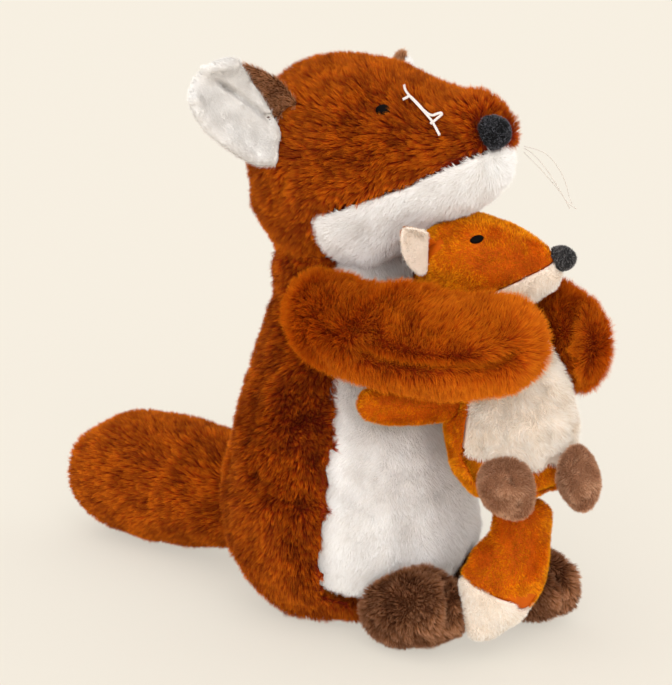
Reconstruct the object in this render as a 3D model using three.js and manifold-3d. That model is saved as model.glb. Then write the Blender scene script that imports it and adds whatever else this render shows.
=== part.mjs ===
// A seated plush fox that hugs a kit. Millimetres, +Z up, the fox faces -Y and its left is +X.
// The origin is the middle of the flat seat on the floor.
import * as THREE from 'three';
import Module from 'manifold-3d';
import { mergeVertices } from 'three/addons/utils/BufferGeometryUtils.js';

const wasm = await Module();
wasm.setup();

// Cloth, filling and the clearances between sewn pieces
const gap = 0.35;
const furWall = 4;
const velourWall = 2.4;
const floorSink = 0.5;
const overrun = 60;
const slabSpread = 20;
const mergeStep = 0.0001;

// How finely each kind of form is faced
const fine = { sides: 18, rings: 10 };
const medium = { sides: 12, rings: 7 };
const small = { sides: 10, rings: 6 };
const inside = { sides: 8, rings: 6 };
const bead = { sides: 10, rings: 7 };
const joint = { sides: 10, rings: 5 };
const tiny = { sides: 8, rings: 4 };
const leaf = 4;
const sweepStepDeg = 18;
const reachStepDeg = 4.5;

const colours = {
  orangeFur: 0xa4541c,
  whiteFur: 0xf1ece4,
  brownFur: 0x5f4637,
  velour: 0xc4690f,
  cream: 0xefe0c6,
  taupe: 0x8a6853,
  felt: 0x1f2023,
  stitch: 0x2a1a12,
  filling: 0xf4f2ee,
  beans: 0xd8d2c4,
  thread: 0xf6f4f0,
  nylon: 0xe9e4da,
};

// Fox body: an upright pear. Stations are shares of its sizes, from the seat to the neck.
const torso = {
  height: 156, seatPress: 3.5, halfWide: 55.5, halfDeep: 53.5, lean: 4, endShare: 0.5,
  stationShares: [
    { wide: 1.0, deep: 1.0, lean: 0 },
    { wide: 1.0, deep: 1.0, lean: 0 },
    { wide: 0.93, deep: 0.93, lean: 0.2 },
    { wide: 0.71, deep: 0.71, lean: 1 },
    { wide: 0.56, deep: 0.56, lean: 1 },
    { wide: 0.53, deep: 0.53, lean: 0.8 },
  ],
};
const bellyPanel = {
  halfWide: 42, low: 11, belowNeck: 15, points: 8,
  outlineShares: [
    { side: 0.7, up: 0 }, { side: 0.95, up: 0.07 }, { side: 1, up: 0.27 }, { side: 0.9, up: 0.46 },
    { side: 0.7, up: 0.64 }, { side: 0.54, up: 0.8 }, { side: 0.4, up: 1 },
  ],
};
const beanPouch = { halfWide: 36, height: 22 };

// Fox head: a long rounded wedge that tips its nose up
const head = {
  back: 37, snout: 71, aboveNeck: 29, rise: 12, halfWide: 41, halfTall: 40, endShare: 0.6, tipShare: 0.32,
  stationShares: [
    { wide: 0.8, tall: 0.8, rise: -0.75 },
    { wide: 0.97, tall: 1.02, rise: -0.4 },
    { wide: 0.98, tall: 0.93, rise: -0.05 },
    { wide: 0.82, tall: 0.76, rise: 0.05 },
    { wide: 0.56, tall: 0.66, rise: 0.35 },
    { wide: 0.4, tall: 0.5, rise: 0.8 },
  ],
};
const neck = { radius: 17, sink: 6, ahead: -4, nodBackDeg: 15 };
const chinPanel = {
  back: 9, front: 110, low: -59,
  backSeam: -20, cheekSeam: -7, cheekAhead: 44, noseSeam: 7, noseAhead: 70,
};
const nose = { radius: 6.8, halfTall: 6.2, sink: 1, rise: 13.5 };
const eye = { radius: 2.3, proud: 1, alongShare: 0.69, rightAroundDeg: 139, leftAroundDeg: 41 };
const ear = {
  length: 39, halfWide: 16.5, thickness: 1.7, cup: 5.5, bend: 3, root: 3,
  out: 36, ahead: -3, rise: 13,
  outShare: 0.76, backShare: 0.46, upShare: 0.46, faceOutShare: 0.485, faceAheadShare: 0.87,
  liningShare: 0.86, flapDeg: 15,
  outlineShares: [0.75, 0.94, 1, 1, 0.94, 0.78, 0.4],
};
const leftEar = { ...ear, ahead: -9, rise: 5, outShare: 0.66, backShare: 0.62, upShare: 0.36 };
const nearWhisker = {
  thick: 1.1, lift: 1, steps: 12, sides: 5,
  routeShares: [
    { along: 0.7, aroundDeg: 128 }, { along: 0.745, aroundDeg: 136 }, { along: 0.79, aroundDeg: 147 },
    { along: 0.83, aroundDeg: 158 }, { along: 0.87, aroundDeg: 168 },
  ],
};
const farWhisker = {
  thick: 0.7, knot: 1.2, steps: 8, sides: 4, bow: 5,
  rootAlongShare: 0.88, rootLift: 1, rootAroundDegs: [14, 0, -14],
  knotOut: 36, knotAhead: 81, knotDrop: 17,
};

// Fox arms: they come round the kit and meet in front of it
const arm = {
  halfWide: 15, halfTall: 21.5, shoulderDrop: 31, shoulderOut: 25, shoulderBall: 9,
  endShare: 0.6, openDeg: 40,
  sizeShares: [
    { wide: 0.95, tall: 0.85 }, { wide: 1, tall: 1 }, { wide: 1, tall: 1 },
    { wide: 1, tall: 1 }, { wide: 1, tall: 1 }, { wide: 0.9, tall: 0.92 },
  ],
};
const rightArm = {
  spread: 42, reach: 101, drop: 28,
  routeShares: [
    { out: 0.36, ahead: -0.13, level: 0 }, { out: 0.83, ahead: 0.15, level: 0.5 },
    { out: 1, ahead: 0.49, level: 1 }, { out: 0.92, ahead: 0.75, level: 1 },
    { out: 0.66, ahead: 0.94, level: 1 }, { out: 0.28, ahead: 1, level: 1 },
  ],
};
const leftArm = {
  spread: 34, reach: 96, drop: 39,
  routeShares: [
    { out: 0.36, ahead: -0.13, level: 0 }, { out: 0.85, ahead: 0.17, level: 0.5 },
    { out: 1, ahead: 0.5, level: 1 }, { out: 0.97, ahead: 0.76, level: 1 },
    { out: 0.76, ahead: 0.94, level: 1 }, { out: 0.42, ahead: 1, level: 1 },
  ],
};

// Fox feet: stubby paws that lie on the floor
const foot = {
  halfWide: 15.8, halfTall: 16, endShare: 0.62, ankleBall: 11, flexDeg: 18,
  sizeShares: [
    { wide: 0.8, tall: 0.85 }, { wide: 1, tall: 1 }, { wide: 1.04, tall: 1 }, { wide: 0.9, tall: 0.86 },
  ],
};
const rightFoot = {
  heelOut: 19, heelAhead: 26, toeOut: 25, toeAhead: 74, lift: 15.5, ankleOut: 20, ankleAhead: 42,
};
const leftFoot = {
  heelOut: 22, heelAhead: 34, toeOut: 38, toeAhead: 85, lift: 15.5, ankleOut: 26, ankleAhead: 41,
};

// Fox tail: a thick sausage that lies straight back
const tail = {
  root: 38, tip: 156, rootOut: 7, tipOut: 14, rootLift: 33, tipLift: 27, halfWide: 28, halfTall: 27.5,
  endShare: 0.5, tipShare: 0.34, rootBall: 15, swingDeg: 12, hingeBack: 50, hingeOut: 9,
  sizeShares: [
    { wide: 0.8, tall: 0.8 }, { wide: 0.86, tall: 0.86 }, { wide: 0.94, tall: 0.94 },
    { wide: 1, tall: 1 }, { wide: 1, tall: 1 },
  ],
};

// Kit body: a half-size pear, turned to the fox's right and leaning back on its belly
const kitTorso = {
  out: 1, ahead: 80, belowNeck: 96, height: 75, halfWide: 27, halfDeep: 26,
  leanOut: 4, leanBack: 10, turnDeg: -35, endShare: 0.5,
  stationShares: [
    { wide: 0.92, deep: 0.92 }, { wide: 1, deep: 1 }, { wide: 0.96, deep: 0.96 },
    { wide: 0.83, deep: 0.83 }, { wide: 0.66, deep: 0.66 }, { wide: 0.5, deep: 0.5 },
  ],
};
const kitBelly = {
  halfWide: 22.5, low: 5, belowNeck: 7, points: 6,
  outlineShares: [
    { side: 0.5, up: 0 }, { side: 0.95, up: 0.15 }, { side: 1, up: 0.4 }, { side: 0.8, up: 0.7 },
    { side: 0.6, up: 1 },
  ],
};
const kitHead = {
  out: 6, ahead: 62, aboveNeck: 14, back: 28, snout: 28, drop: 4, halfWide: 20, halfTall: 19,
  turnDeg: 30, endShare: 0.65,
  stationShares: [
    { wide: 0.8, tall: 0.8, drop: 0 }, { wide: 1, tall: 1, drop: 0 },
    { wide: 0.98, tall: 0.96, drop: 0.1 }, { wide: 0.84, tall: 0.86, drop: 0.5 },
    { wide: 0.62, tall: 0.76, drop: 0.9 }, { wide: 0.4, tall: 0.55, drop: 0.7 },
  ],
};
const kitNeck = { radius: 8.5, out: 5, ahead: 68, sink: 1, turnDeg: 8 };
const kitChin = { back: 0, seamLow: -11, seamHigh: 17, front: 60, low: -49 };
const kitNose = { radius: 5.6, halfTall: 5.1, sink: 0.5, rise: 1.5 };
const kitEye = { radius: 1.7, proud: 0.8, alongShare: 0.44, rightAroundDeg: 143, leftAroundDeg: 37 };
const kitEar = {
  length: 18, halfWide: 8, thickness: 1.2, cup: 2.6, bend: 1.4, root: 2,
  out: 12.5, ahead: -21, rise: 3,
  outShare: 0.35, backShare: 0.55, upShare: 0.76, faceOutShare: 0.97, faceAheadShare: 0.24,
  liningShare: 0.84, flapDeg: 12,
  outlineShares: [0.85, 1, 0.98, 0.86, 0.62, 0.22],
};
const kitArm = { halfWide: 8.3, halfTall: 8.3, endShare: 0.6, shoulderBall: 6, swingDeg: 12 };
const kitRightArm = {
  rise: 39, shoulderOut: -16, shoulderAhead: 63, rootOut: -5, rootAhead: 69,
  midOut: -27, midAhead: 54, tipOut: -44, tipAhead: 39,
};
const kitLeftArm = {
  rise: 25, shoulderOut: 23, shoulderAhead: 74, rootOut: 10, rootAhead: 76,
  midOut: 31, midAhead: 72, tipOut: 48, tipAhead: 64,
};
const kitFoot = {
  halfWide: 10, halfTall: 12, endShare: 0.6, ankleBall: 6.5, swingDeg: 15,
  ankleSide: 11, ankleAhead: 22, ankleRise: 17, heelSide: 10, heelAhead: 12, heelRise: 20,
  toeSide: 14, toeAhead: 37, toeRise: 11,
};
const kitTail = {
  halfWide: 13.5, halfTall: 12.5, endShare: 0.6, rootBall: 7, swingDeg: 15, seamLiftShare: 0.421875,
  rootOut: 2, rootAhead: 73, rootRise: 4, midOut: 3, midAhead: 84, midLiftShare: 0.734375,
  lowOut: -8, lowAhead: 81, lowLiftShare: 0.40625, tipOut: -14, tipAhead: 75, tipLiftShare: 0.15625,
  sizeShares: [
    { wide: 0.7, tall: 0.7 }, { wide: 1, tall: 1 }, { wide: 0.98, tall: 0.98 }, { wide: 0.86, tall: 0.9 },
  ],
};

// Heights above the floor that the sizes above lead to
const headLift = torso.height + head.aboveNeck;
const neckLift = torso.height - neck.sink;
const shoulderLift = torso.height - arm.shoulderDrop;
const kitSeatLift = torso.height - kitTorso.belowNeck;
const kitHeadLift = kitSeatLift + kitTorso.height + kitHead.aboveNeck;
const kitNeckLift = kitSeatLift + kitTorso.height - kitNeck.sink;
const kitTailLift = kitSeatLift + kitTail.rootRise;

const sideways = new THREE.Vector3(1, 0, 0);
const upwards = new THREE.Vector3(0, 0, 1);
const facing = new THREE.Vector3(0, -1, 0);
const poles = new THREE.Vector3(0, 1, 0);

function solidOf(geometry) {
  const bare = geometry.clone();
  bare.deleteAttribute('normal');
  bare.deleteAttribute('uv');
  const merged = mergeVertices(bare, mergeStep);
  const index = merged.getIndex().array;
  return new wasm.Manifold(new wasm.Mesh({
    numProp: 3,
    vertProperties: new Float32Array(merged.getAttribute('position').array),
    triVerts: new Uint32Array(index),
  }));
}

function geometryOf(solid) {
  const mesh = solid.getMesh();
  const geometry = new THREE.BufferGeometry();
  geometry.setAttribute('position', new THREE.BufferAttribute(mesh.vertProperties, mesh.numProp));
  geometry.setIndex(new THREE.BufferAttribute(mesh.triVerts, 1));
  geometry.computeVertexNormals();
  return geometry;
}

// A cut can leave a crumb of cloth behind, so only the biggest body is kept
function mainBody(solid) {
  const bodies = solid.decompose();
  bodies.sort((a, b) => b.volume() - a.volume());
  return bodies[0];
}

function cutBy(solid, cutters) {
  return cutters.reduce((left, cutter) => left.subtract(cutter), solid);
}

function turned(geometry, hinge, degrees) {
  const spin = new THREE.Matrix4().makeRotationAxis(hinge.axis, THREE.MathUtils.degToRad(degrees));
  return geometry.clone()
    .translate(-hinge.at.x, -hinge.at.y, -hinge.at.z)
    .applyMatrix4(spin)
    .translate(hinge.at.x, hinge.at.y, hinge.at.z);
}

// The angles at which a swing is tried, from rest to each limit
function anglesOf(hinge, stepDeg = sweepStepDeg) {
  return [0, ...[hinge.least, hinge.most].flatMap((limit) => {
    const steps = Math.ceil(Math.abs(limit) / stepDeg);
    return Array.from({ length: steps }, (_, i) => limit * (i + 1) / steps);
  })];
}

// What a swinging piece has to stay out of: the still form as the swinging piece sees it, at each angle
function sweepOf(geometry, hinge, stepDeg = sweepStepDeg) {
  return anglesOf(hinge, stepDeg).map((angle) => solidOf(angle ? turned(geometry, hinge, -angle) : geometry));
}

// A ball with its poles on the hinge's axis, so that it turns in a socket of the same faces
function ballOn({ at, axis }, radius) {
  const ball = new THREE.SphereGeometry(radius, joint.sides, joint.rings);
  ball.applyQuaternion(new THREE.Quaternion().setFromUnitVectors(poles, axis));
  return solidOf(ball.translate(at.x, at.y, at.z));
}

// A socket's flat sides clear the corners of its ball at every angle
function socketFor(hinge) {
  return ballOn(hinge, (hinge.radius + gap) / Math.cos(Math.PI / joint.sides));
}

// A stuffed form: an oval skin round a curved spine, swelling and tapering, with domed ends
class StuffedForm {
  constructor({ spine, wides, talls, up, endShare, tipShare = endShare, faces, floor = null }) {
    this.spine = new THREE.CatmullRomCurve3(spine);
    this.sizes = new THREE.CatmullRomCurve3(
      wides.map((wide, i) => new THREE.Vector3(wide, talls[i], 0)));
    this.up = up;
    this.endShare = endShare;
    this.tipShare = tipShare;
    this.faces = faces;
    this.floor = floor;
  }

  frameAt(share) {
    const tangent = this.spine.getTangent(share);
    const side = new THREE.Vector3().crossVectors(this.up, tangent).normalize();
    return { middle: this.spine.getPoint(share), side, top: new THREE.Vector3().crossVectors(tangent, side) };
  }

  pointAt(polar, around) {
    const share = (1 - Math.cos(polar)) / 2;
    const { middle, side, top } = this.frameAt(share);
    const size = this.sizes.getPoint(share);
    const blunt = THREE.MathUtils.lerp(this.endShare, this.tipShare, share);
    const full = Math.pow(Math.max(Math.sin(polar), 0), blunt);
    return middle
      .addScaledVector(side, size.x * full * Math.cos(around))
      .addScaledVector(top, size.y * full * Math.sin(around));
  }

  // A place on the skin by its share of the spine and its angle round it, lifted off by some height
  placeOn(share, aroundDeg, lift) {
    const polar = Math.acos(1 - 2 * share);
    const point = this.pointAt(polar, THREE.MathUtils.degToRad(aroundDeg));
    const outward = point.clone().sub(this.spine.getPoint(share)).normalize();
    return point.addScaledVector(outward, lift);
  }

  // The skin, moved in or out along its normals by an offset
  skin(offset, faces = this.faces) {
    const ball = new THREE.SphereGeometry(1, faces.sides, faces.rings);
    ball.deleteAttribute('normal');
    ball.deleteAttribute('uv');
    const geometry = mergeVertices(ball, mergeStep);
    const places = geometry.getAttribute('position');
    for (let i = 0; i < places.count; i += 1) {
      const polar = Math.acos(THREE.MathUtils.clamp(places.getY(i), -1, 1));
      const around = Math.atan2(places.getZ(i), places.getX(i));
      const point = this.pointAt(polar, around);
      places.setXYZ(i, point.x, point.y, point.z);
    }
    geometry.computeVertexNormals();
    const normals = geometry.getAttribute('normal');
    for (let i = 0; i < places.count; i += 1) {
      const point = new THREE.Vector3().fromBufferAttribute(places, i);
      point.addScaledVector(new THREE.Vector3().fromBufferAttribute(normals, i), offset);
      if (this.floor !== null) point.z = Math.max(point.z, this.floor - offset);
      places.setXYZ(i, point.x, point.y, point.z);
    }
    return geometry;
  }

  solid(offset = 0, faces = this.faces) {
    return solidOf(this.skin(offset, faces));
  }
}

// A slab far wider than the fox, between two levels
function slab(low, high) {
  const box = new THREE.BoxGeometry(overrun * slabSpread, overrun * slabSpread, high - low);
  return solidOf(box.translate(0, 0, (low + high) / 2));
}

const ground = slab(-overrun, 0);

// The forms, before any cut

const torsoForm = new StuffedForm({
  spine: torso.stationShares.map(({ lean }, i, all) => new THREE.Vector3(
    0, lean * torso.lean, -torso.seatPress + (torso.height + torso.seatPress) * i / (all.length - 1))),
  wides: torso.stationShares.map(({ wide }) => wide * torso.halfWide),
  talls: torso.stationShares.map(({ deep }) => deep * torso.halfDeep),
  up: facing, endShare: torso.endShare, faces: fine, floor: -floorSink,
});

const headForm = new StuffedForm({
  spine: head.stationShares.map(({ rise }, i, all) => new THREE.Vector3(
    0, head.back - (head.back + head.snout) * i / (all.length - 1), headLift + rise * head.rise)),
  wides: head.stationShares.map(({ wide }) => wide * head.halfWide),
  talls: head.stationShares.map(({ tall }) => tall * head.halfTall),
  up: upwards, endShare: head.endShare, tipShare: head.tipShare, faces: fine,
});

function armForm(side, { spread, reach, drop, routeShares }) {
  const fall = arm.shoulderDrop - drop;
  return new StuffedForm({
    spine: routeShares.map(({ out, ahead, level }) => new THREE.Vector3(
      side * out * spread, -ahead * reach, shoulderLift + fall * level)),
    wides: arm.sizeShares.map(({ wide }) => wide * arm.halfWide),
    talls: arm.sizeShares.map(({ tall }) => tall * arm.halfTall),
    up: upwards, endShare: arm.endShare, faces: medium,
  });
}

function footForm(side, place) {
  const spine = foot.sizeShares.map((_, i, all) => new THREE.Vector3(
    side * (place.heelOut + (place.toeOut - place.heelOut) * i / (all.length - 1)),
    -(place.heelAhead + (place.toeAhead - place.heelAhead) * i / (all.length - 1)), place.lift));
  return new StuffedForm({
    spine, wides: foot.sizeShares.map(({ wide }) => wide * foot.halfWide),
    talls: foot.sizeShares.map(({ tall }) => tall * foot.halfTall),
    up: upwards, endShare: foot.endShare, faces: small, floor: -floorSink,
  });
}

const tailForm = new StuffedForm({
  spine: tail.sizeShares.map((_, i, all) => new THREE.Vector3(
    tail.rootOut + (tail.tipOut - tail.rootOut) * i / (all.length - 1),
    tail.root + (tail.tip - tail.root) * i / (all.length - 1),
    tail.rootLift + (tail.tipLift - tail.rootLift) * i / (all.length - 1))),
  wides: tail.sizeShares.map(({ wide }) => wide * tail.halfWide),
  talls: tail.sizeShares.map(({ tall }) => tall * tail.halfTall),
  up: upwards, endShare: tail.endShare, tipShare: tail.tipShare, faces: medium, floor: -floorSink,
});

const kitFacing = facing.clone().applyAxisAngle(upwards, THREE.MathUtils.degToRad(kitTorso.turnDeg));
const kitSide = sideways.clone().applyAxisAngle(upwards, THREE.MathUtils.degToRad(kitTorso.turnDeg));
const kitTorsoForm = new StuffedForm({
  spine: kitTorso.stationShares.map((_, i, all) => new THREE.Vector3(
    kitTorso.out + kitTorso.leanOut * i / (all.length - 1),
    -kitTorso.ahead + kitTorso.leanBack * i / (all.length - 1),
    kitSeatLift + kitTorso.height * i / (all.length - 1))),
  wides: kitTorso.stationShares.map(({ wide }) => wide * kitTorso.halfWide),
  talls: kitTorso.stationShares.map(({ deep }) => deep * kitTorso.halfDeep),
  up: kitFacing, endShare: kitTorso.endShare, faces: medium,
});

const kitGaze = facing.clone().applyAxisAngle(upwards, THREE.MathUtils.degToRad(kitHead.turnDeg));
const kitHeadSide = sideways.clone().applyAxisAngle(upwards, THREE.MathUtils.degToRad(kitHead.turnDeg));
const kitHeadMiddle = new THREE.Vector3(kitHead.out, -kitHead.ahead, kitHeadLift);
const kitHeadForm = new StuffedForm({
  spine: kitHead.stationShares.map(({ drop }, i, all) => kitHeadMiddle.clone()
    .addScaledVector(kitGaze, -kitHead.back + (kitHead.back + kitHead.snout) * i / (all.length - 1))
    .addScaledVector(upwards, -drop * kitHead.drop)),
  wides: kitHead.stationShares.map(({ wide }) => wide * kitHead.halfWide),
  talls: kitHead.stationShares.map(({ tall }) => tall * kitHead.halfTall),
  up: upwards, endShare: kitHead.endShare, faces: medium,
});

function kitArmForm({ rise, rootOut, rootAhead, midOut, midAhead, tipOut, tipAhead }) {
  const lift = kitSeatLift + rise;
  return new StuffedForm({
    spine: [
      new THREE.Vector3(rootOut, -rootAhead, lift),
      new THREE.Vector3(midOut, -midAhead, lift),
      new THREE.Vector3(tipOut, -tipAhead, lift),
    ],
    wides: [kitArm.halfWide, kitArm.halfWide, kitArm.halfWide],
    talls: [kitArm.halfTall, kitArm.halfTall, kitArm.halfTall],
    up: upwards, endShare: kitArm.endShare, faces: small,
  });
}

function kitFootForm(side) {
  const at = (across, ahead, rise) => new THREE.Vector3(kitTorso.out, -kitTorso.ahead, kitSeatLift + rise)
    .addScaledVector(kitSide, side * across).addScaledVector(kitFacing, ahead);
  const middle = at((kitFoot.heelSide + kitFoot.toeSide) / 2, (kitFoot.heelAhead + kitFoot.toeAhead) / 2,
    (kitFoot.heelRise + kitFoot.toeRise) / 2);
  return new StuffedForm({
    spine: [at(kitFoot.heelSide, kitFoot.heelAhead, kitFoot.heelRise), middle,
      at(kitFoot.toeSide, kitFoot.toeAhead, kitFoot.toeRise)],
    wides: [kitFoot.halfWide, kitFoot.halfWide, kitFoot.halfWide],
    talls: [kitFoot.halfTall, kitFoot.halfTall, kitFoot.halfTall],
    up: upwards, endShare: kitFoot.endShare, faces: small,
  });
}

const kitTailForm = new StuffedForm({
  spine: [
    new THREE.Vector3(kitTail.rootOut, -kitTail.rootAhead, kitTailLift),
    new THREE.Vector3(kitTail.midOut, -kitTail.midAhead, kitTailLift * kitTail.midLiftShare),
    new THREE.Vector3(kitTail.lowOut, -kitTail.lowAhead, kitTailLift * kitTail.lowLiftShare),
    new THREE.Vector3(kitTail.tipOut, -kitTail.tipAhead, kitTailLift * kitTail.tipLiftShare),
  ],
  wides: kitTail.sizeShares.map(({ wide }) => wide * kitTail.halfWide),
  talls: kitTail.sizeShares.map(({ tall }) => tall * kitTail.halfTall),
  up: facing, endShare: kitTail.endShare, faces: small, floor: -floorSink,
});

const armForms = { right: armForm(-1, rightArm), left: armForm(1, leftArm) };
const footForms = { right: footForm(-1, rightFoot), left: footForm(1, leftFoot) };
const kitArmForms = { right: kitArmForm(kitRightArm), left: kitArmForm(kitLeftArm) };
const kitFootForms = { right: kitFootForm(-1), left: kitFootForm(1) };

// The hinges: where each sewn joint bends, about which axis and how far

const hinges = {
  neck: {
    at: new THREE.Vector3(0, -neck.ahead, neckLift), axis: sideways, radius: neck.radius,
    least: -neck.nodBackDeg, most: 0,
  },
  rightArm: {
    at: new THREE.Vector3(-arm.shoulderOut, 0, shoulderLift), axis: upwards, radius: arm.shoulderBall,
    least: -arm.openDeg, most: 0,
  },
  leftArm: {
    at: new THREE.Vector3(arm.shoulderOut, 0, shoulderLift), axis: upwards, radius: arm.shoulderBall,
    least: 0, most: arm.openDeg,
  },
  rightFoot: {
    at: new THREE.Vector3(-rightFoot.ankleOut, -rightFoot.ankleAhead, rightFoot.lift), axis: sideways,
    radius: foot.ankleBall, least: -foot.flexDeg, most: 0,
  },
  leftFoot: {
    at: new THREE.Vector3(leftFoot.ankleOut, -leftFoot.ankleAhead, leftFoot.lift), axis: sideways,
    radius: foot.ankleBall, least: -foot.flexDeg, most: 0,
  },
  tail: {
    at: new THREE.Vector3(tail.hingeOut, tail.hingeBack, tail.rootLift), axis: upwards,
    radius: tail.rootBall, least: -tail.swingDeg, most: tail.swingDeg,
  },
  kitNeck: {
    at: new THREE.Vector3(kitNeck.out, -kitNeck.ahead, kitNeckLift), axis: upwards, radius: kitNeck.radius,
    least: -kitNeck.turnDeg, most: kitNeck.turnDeg,
  },
  kitRightArm: kitArmHinge(kitRightArm, -kitArm.swingDeg, 0),
  kitLeftArm: kitArmHinge(kitLeftArm, 0, kitArm.swingDeg),
  kitRightFoot: kitFootHinge(-1),
  kitLeftFoot: kitFootHinge(1),
  kitTail: {
    at: new THREE.Vector3(kitTail.rootOut, -kitTail.rootAhead, kitTailLift), axis: sideways,
    radius: kitTail.rootBall, least: -kitTail.swingDeg, most: 0,
  },
};

function kitArmHinge({ rise, shoulderOut, shoulderAhead }, least, most) {
  const at = new THREE.Vector3(shoulderOut, -shoulderAhead, kitSeatLift + rise);
  return { at, axis: upwards, radius: kitArm.shoulderBall, least, most };
}

function kitFootHinge(side) {
  const at = new THREE.Vector3(kitTorso.out, -kitTorso.ahead, kitSeatLift + kitFoot.ankleRise)
    .addScaledVector(kitSide, side * kitFoot.ankleSide).addScaledVector(kitFacing, kitFoot.ankleAhead);
  return { at, axis: kitSide, radius: kitFoot.ankleBall, least: -kitFoot.swingDeg, most: 0 };
}

const group = new THREE.Group();

function addPiece(name, solid, colour, roughness = 1) {
  const material = new THREE.MeshStandardMaterial({ color: colour, roughness, metalness: 0 });
  const mesh = new THREE.Mesh(geometryOf(mainBody(solid)), material);
  mesh.name = name;
  group.add(mesh);
}

// A prism from an outline drawn across and up, pushed out along the direction square to both
function prism(outline, origin, across, from, to) {
  const shape = new THREE.Shape(outline.map(([x, y]) => new THREE.Vector2(x, y)));
  const block = new THREE.ExtrudeGeometry(shape, { depth: to - from, bevelEnabled: false });
  const ahead = new THREE.Vector3().crossVectors(across, upwards);
  const place = new THREE.Matrix4().makeBasis(across, upwards, ahead).setPosition(origin);
  return solidOf(block.translate(0, 0, from).applyMatrix4(place));
}

// The outline of a belly panel, spread by half a seam
function bellyOutline({ halfWide, low, outlineShares, points }, high, spread) {
  const half = new THREE.SplineCurve(outlineShares.map(({ side, up }) => new THREE.Vector2(
    side * halfWide + spread, low - spread + up * (high - low + spread + spread)))).getPoints(points);
  return [...half.map(({ x, y }) => [x, y]), ...half.reverse().map(({ x, y }) => [-x, y])];
}

// A limb sewn to its host: a cover open at the root, over a filling whose ball turns in a dent of the host
function sewLimb(name, form, hinge, wall, cutters, colour, splitters = null) {
  const stillForms = cutters.still || [];
  const sweptHosts = cutters.swept.flatMap((host) => sweepOf(host.skin(gap), hinge));
  const swept = [...sweptHosts, ...stillForms, ground];
  const ball = ballOn(hinge, hinge.radius);
  const opening = ballOn(hinge, hinge.radius + gap);
  const shell = cutBy(form.solid(), [...swept, form.solid(-wall, inside), opening]);
  const filling = cutBy(form.solid(-wall - gap, inside), swept).add(ball);
  if (splitters) {
    splitters.forEach((splitter) => addPiece(splitter.name, shell.intersect(splitter.keep), splitter.colour));
  } else {
    addPiece(`${name}_cover`, shell, colour);
  }
  addPiece(`${name}_filling`, filling, colours.filling);
}

// Where a swinging limb reaches, as what stays still sees it
function reachOf(form, hinge) {
  return sweepOf(form.skin(gap), { ...hinge, least: -hinge.most, most: -hinge.least }, reachStepDeg);
}

function ballDents(names) {
  return names.map((name) => socketFor(hinges[name]));
}

// Fox body

const torsoDents = ballDents(['neck', 'rightArm', 'leftArm', 'rightFoot', 'leftFoot', 'tail']);
const torsoSkin = cutBy(torsoForm.solid(), [ground, ...torsoDents]);
const torsoShell = torsoSkin.subtract(torsoForm.solid(-furWall, inside));
const bellyBlock = (spread) => prism(
  bellyOutline(bellyPanel, torso.height - bellyPanel.belowNeck, spread),
  new THREE.Vector3(), sideways, 0, torso.halfDeep + overrun);
addPiece('body_cover', torsoShell.subtract(bellyBlock(gap / 2)), colours.orangeFur);
addPiece('belly_panel', torsoShell.intersect(bellyBlock(-gap / 2)), colours.whiteFur);

const fillingFloor = furWall + gap;
const pouchAt = (offset) => {
  const shape = new THREE.SphereGeometry(1, inside.sides, inside.rings);
  const wide = beanPouch.halfWide + offset;
  const tall = beanPouch.height + offset;
  return solidOf(shape.scale(wide, wide, tall).translate(0, 0, fillingFloor));
};
const fillingBase = slab(-overrun, fillingFloor);
const torsoFilling = cutBy(torsoForm.solid(-furWall - gap, inside), [fillingBase, ...torsoDents]);
addPiece('body_filling', torsoFilling.subtract(pouchAt(gap)), colours.filling);
addPiece('bean_pouch', cutBy(pouchAt(0).intersect(torsoForm.solid(-furWall - gap, inside)),
  [fillingBase, ...ballDents(['rightFoot', 'leftFoot', 'tail'])]), colours.beans);

// Fox head

const headCutters = [...sweepOf(torsoForm.skin(gap), hinges.neck)];
const neckBall = ballOn(hinges.neck, neck.radius);
const neckOpening = ballOn(hinges.neck, neck.radius + gap);
const headShell = cutBy(headForm.solid(), [...headCutters, headForm.solid(-furWall, inside), neckOpening]);
const chinBlock = (spread) => prism([
  [chinPanel.back - spread, chinPanel.low],
  [chinPanel.back - spread, chinPanel.backSeam + spread],
  [chinPanel.cheekAhead, chinPanel.cheekSeam + spread],
  [chinPanel.noseAhead, chinPanel.noseSeam + spread],
  [chinPanel.front, chinPanel.noseSeam + spread],
  [chinPanel.front, chinPanel.low],
], new THREE.Vector3(0, 0, headLift), facing, -overrun, overrun);
addPiece('head_cover', headShell.subtract(chinBlock(gap / 2)), colours.orangeFur);
addPiece('chin_panel', headShell.intersect(chinBlock(-gap / 2)), colours.whiteFur);
const headInside = cutBy(headForm.solid(-furWall - gap, inside), headCutters);
addPiece('head_filling', headInside.add(neckBall), colours.filling);

function addNose(name, { radius, halfTall }, at, form) {
  const ball = new THREE.SphereGeometry(radius, bead.sides, bead.rings);
  ball.scale(1, 1, halfTall / radius).translate(at.x, at.y, at.z);
  addPiece(name, solidOf(ball).subtract(form.solid(gap)), colours.felt);
}

function addEye(name, { radius, proud, alongShare }, aroundDeg, form) {
  const at = form.placeOn(alongShare, aroundDeg, 0);
  const outward = form.placeOn(alongShare, aroundDeg, gap).sub(at).normalize();
  const dot = new THREE.SphereGeometry(radius, tiny.sides, tiny.rings).scale(1, 1, (proud + gap) / radius);
  dot.applyQuaternion(new THREE.Quaternion().setFromUnitVectors(upwards, outward));
  dot.translate(at.x, at.y, at.z);
  addPiece(name, solidOf(dot).subtract(form.solid(gap)), colours.stitch);
}

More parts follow.
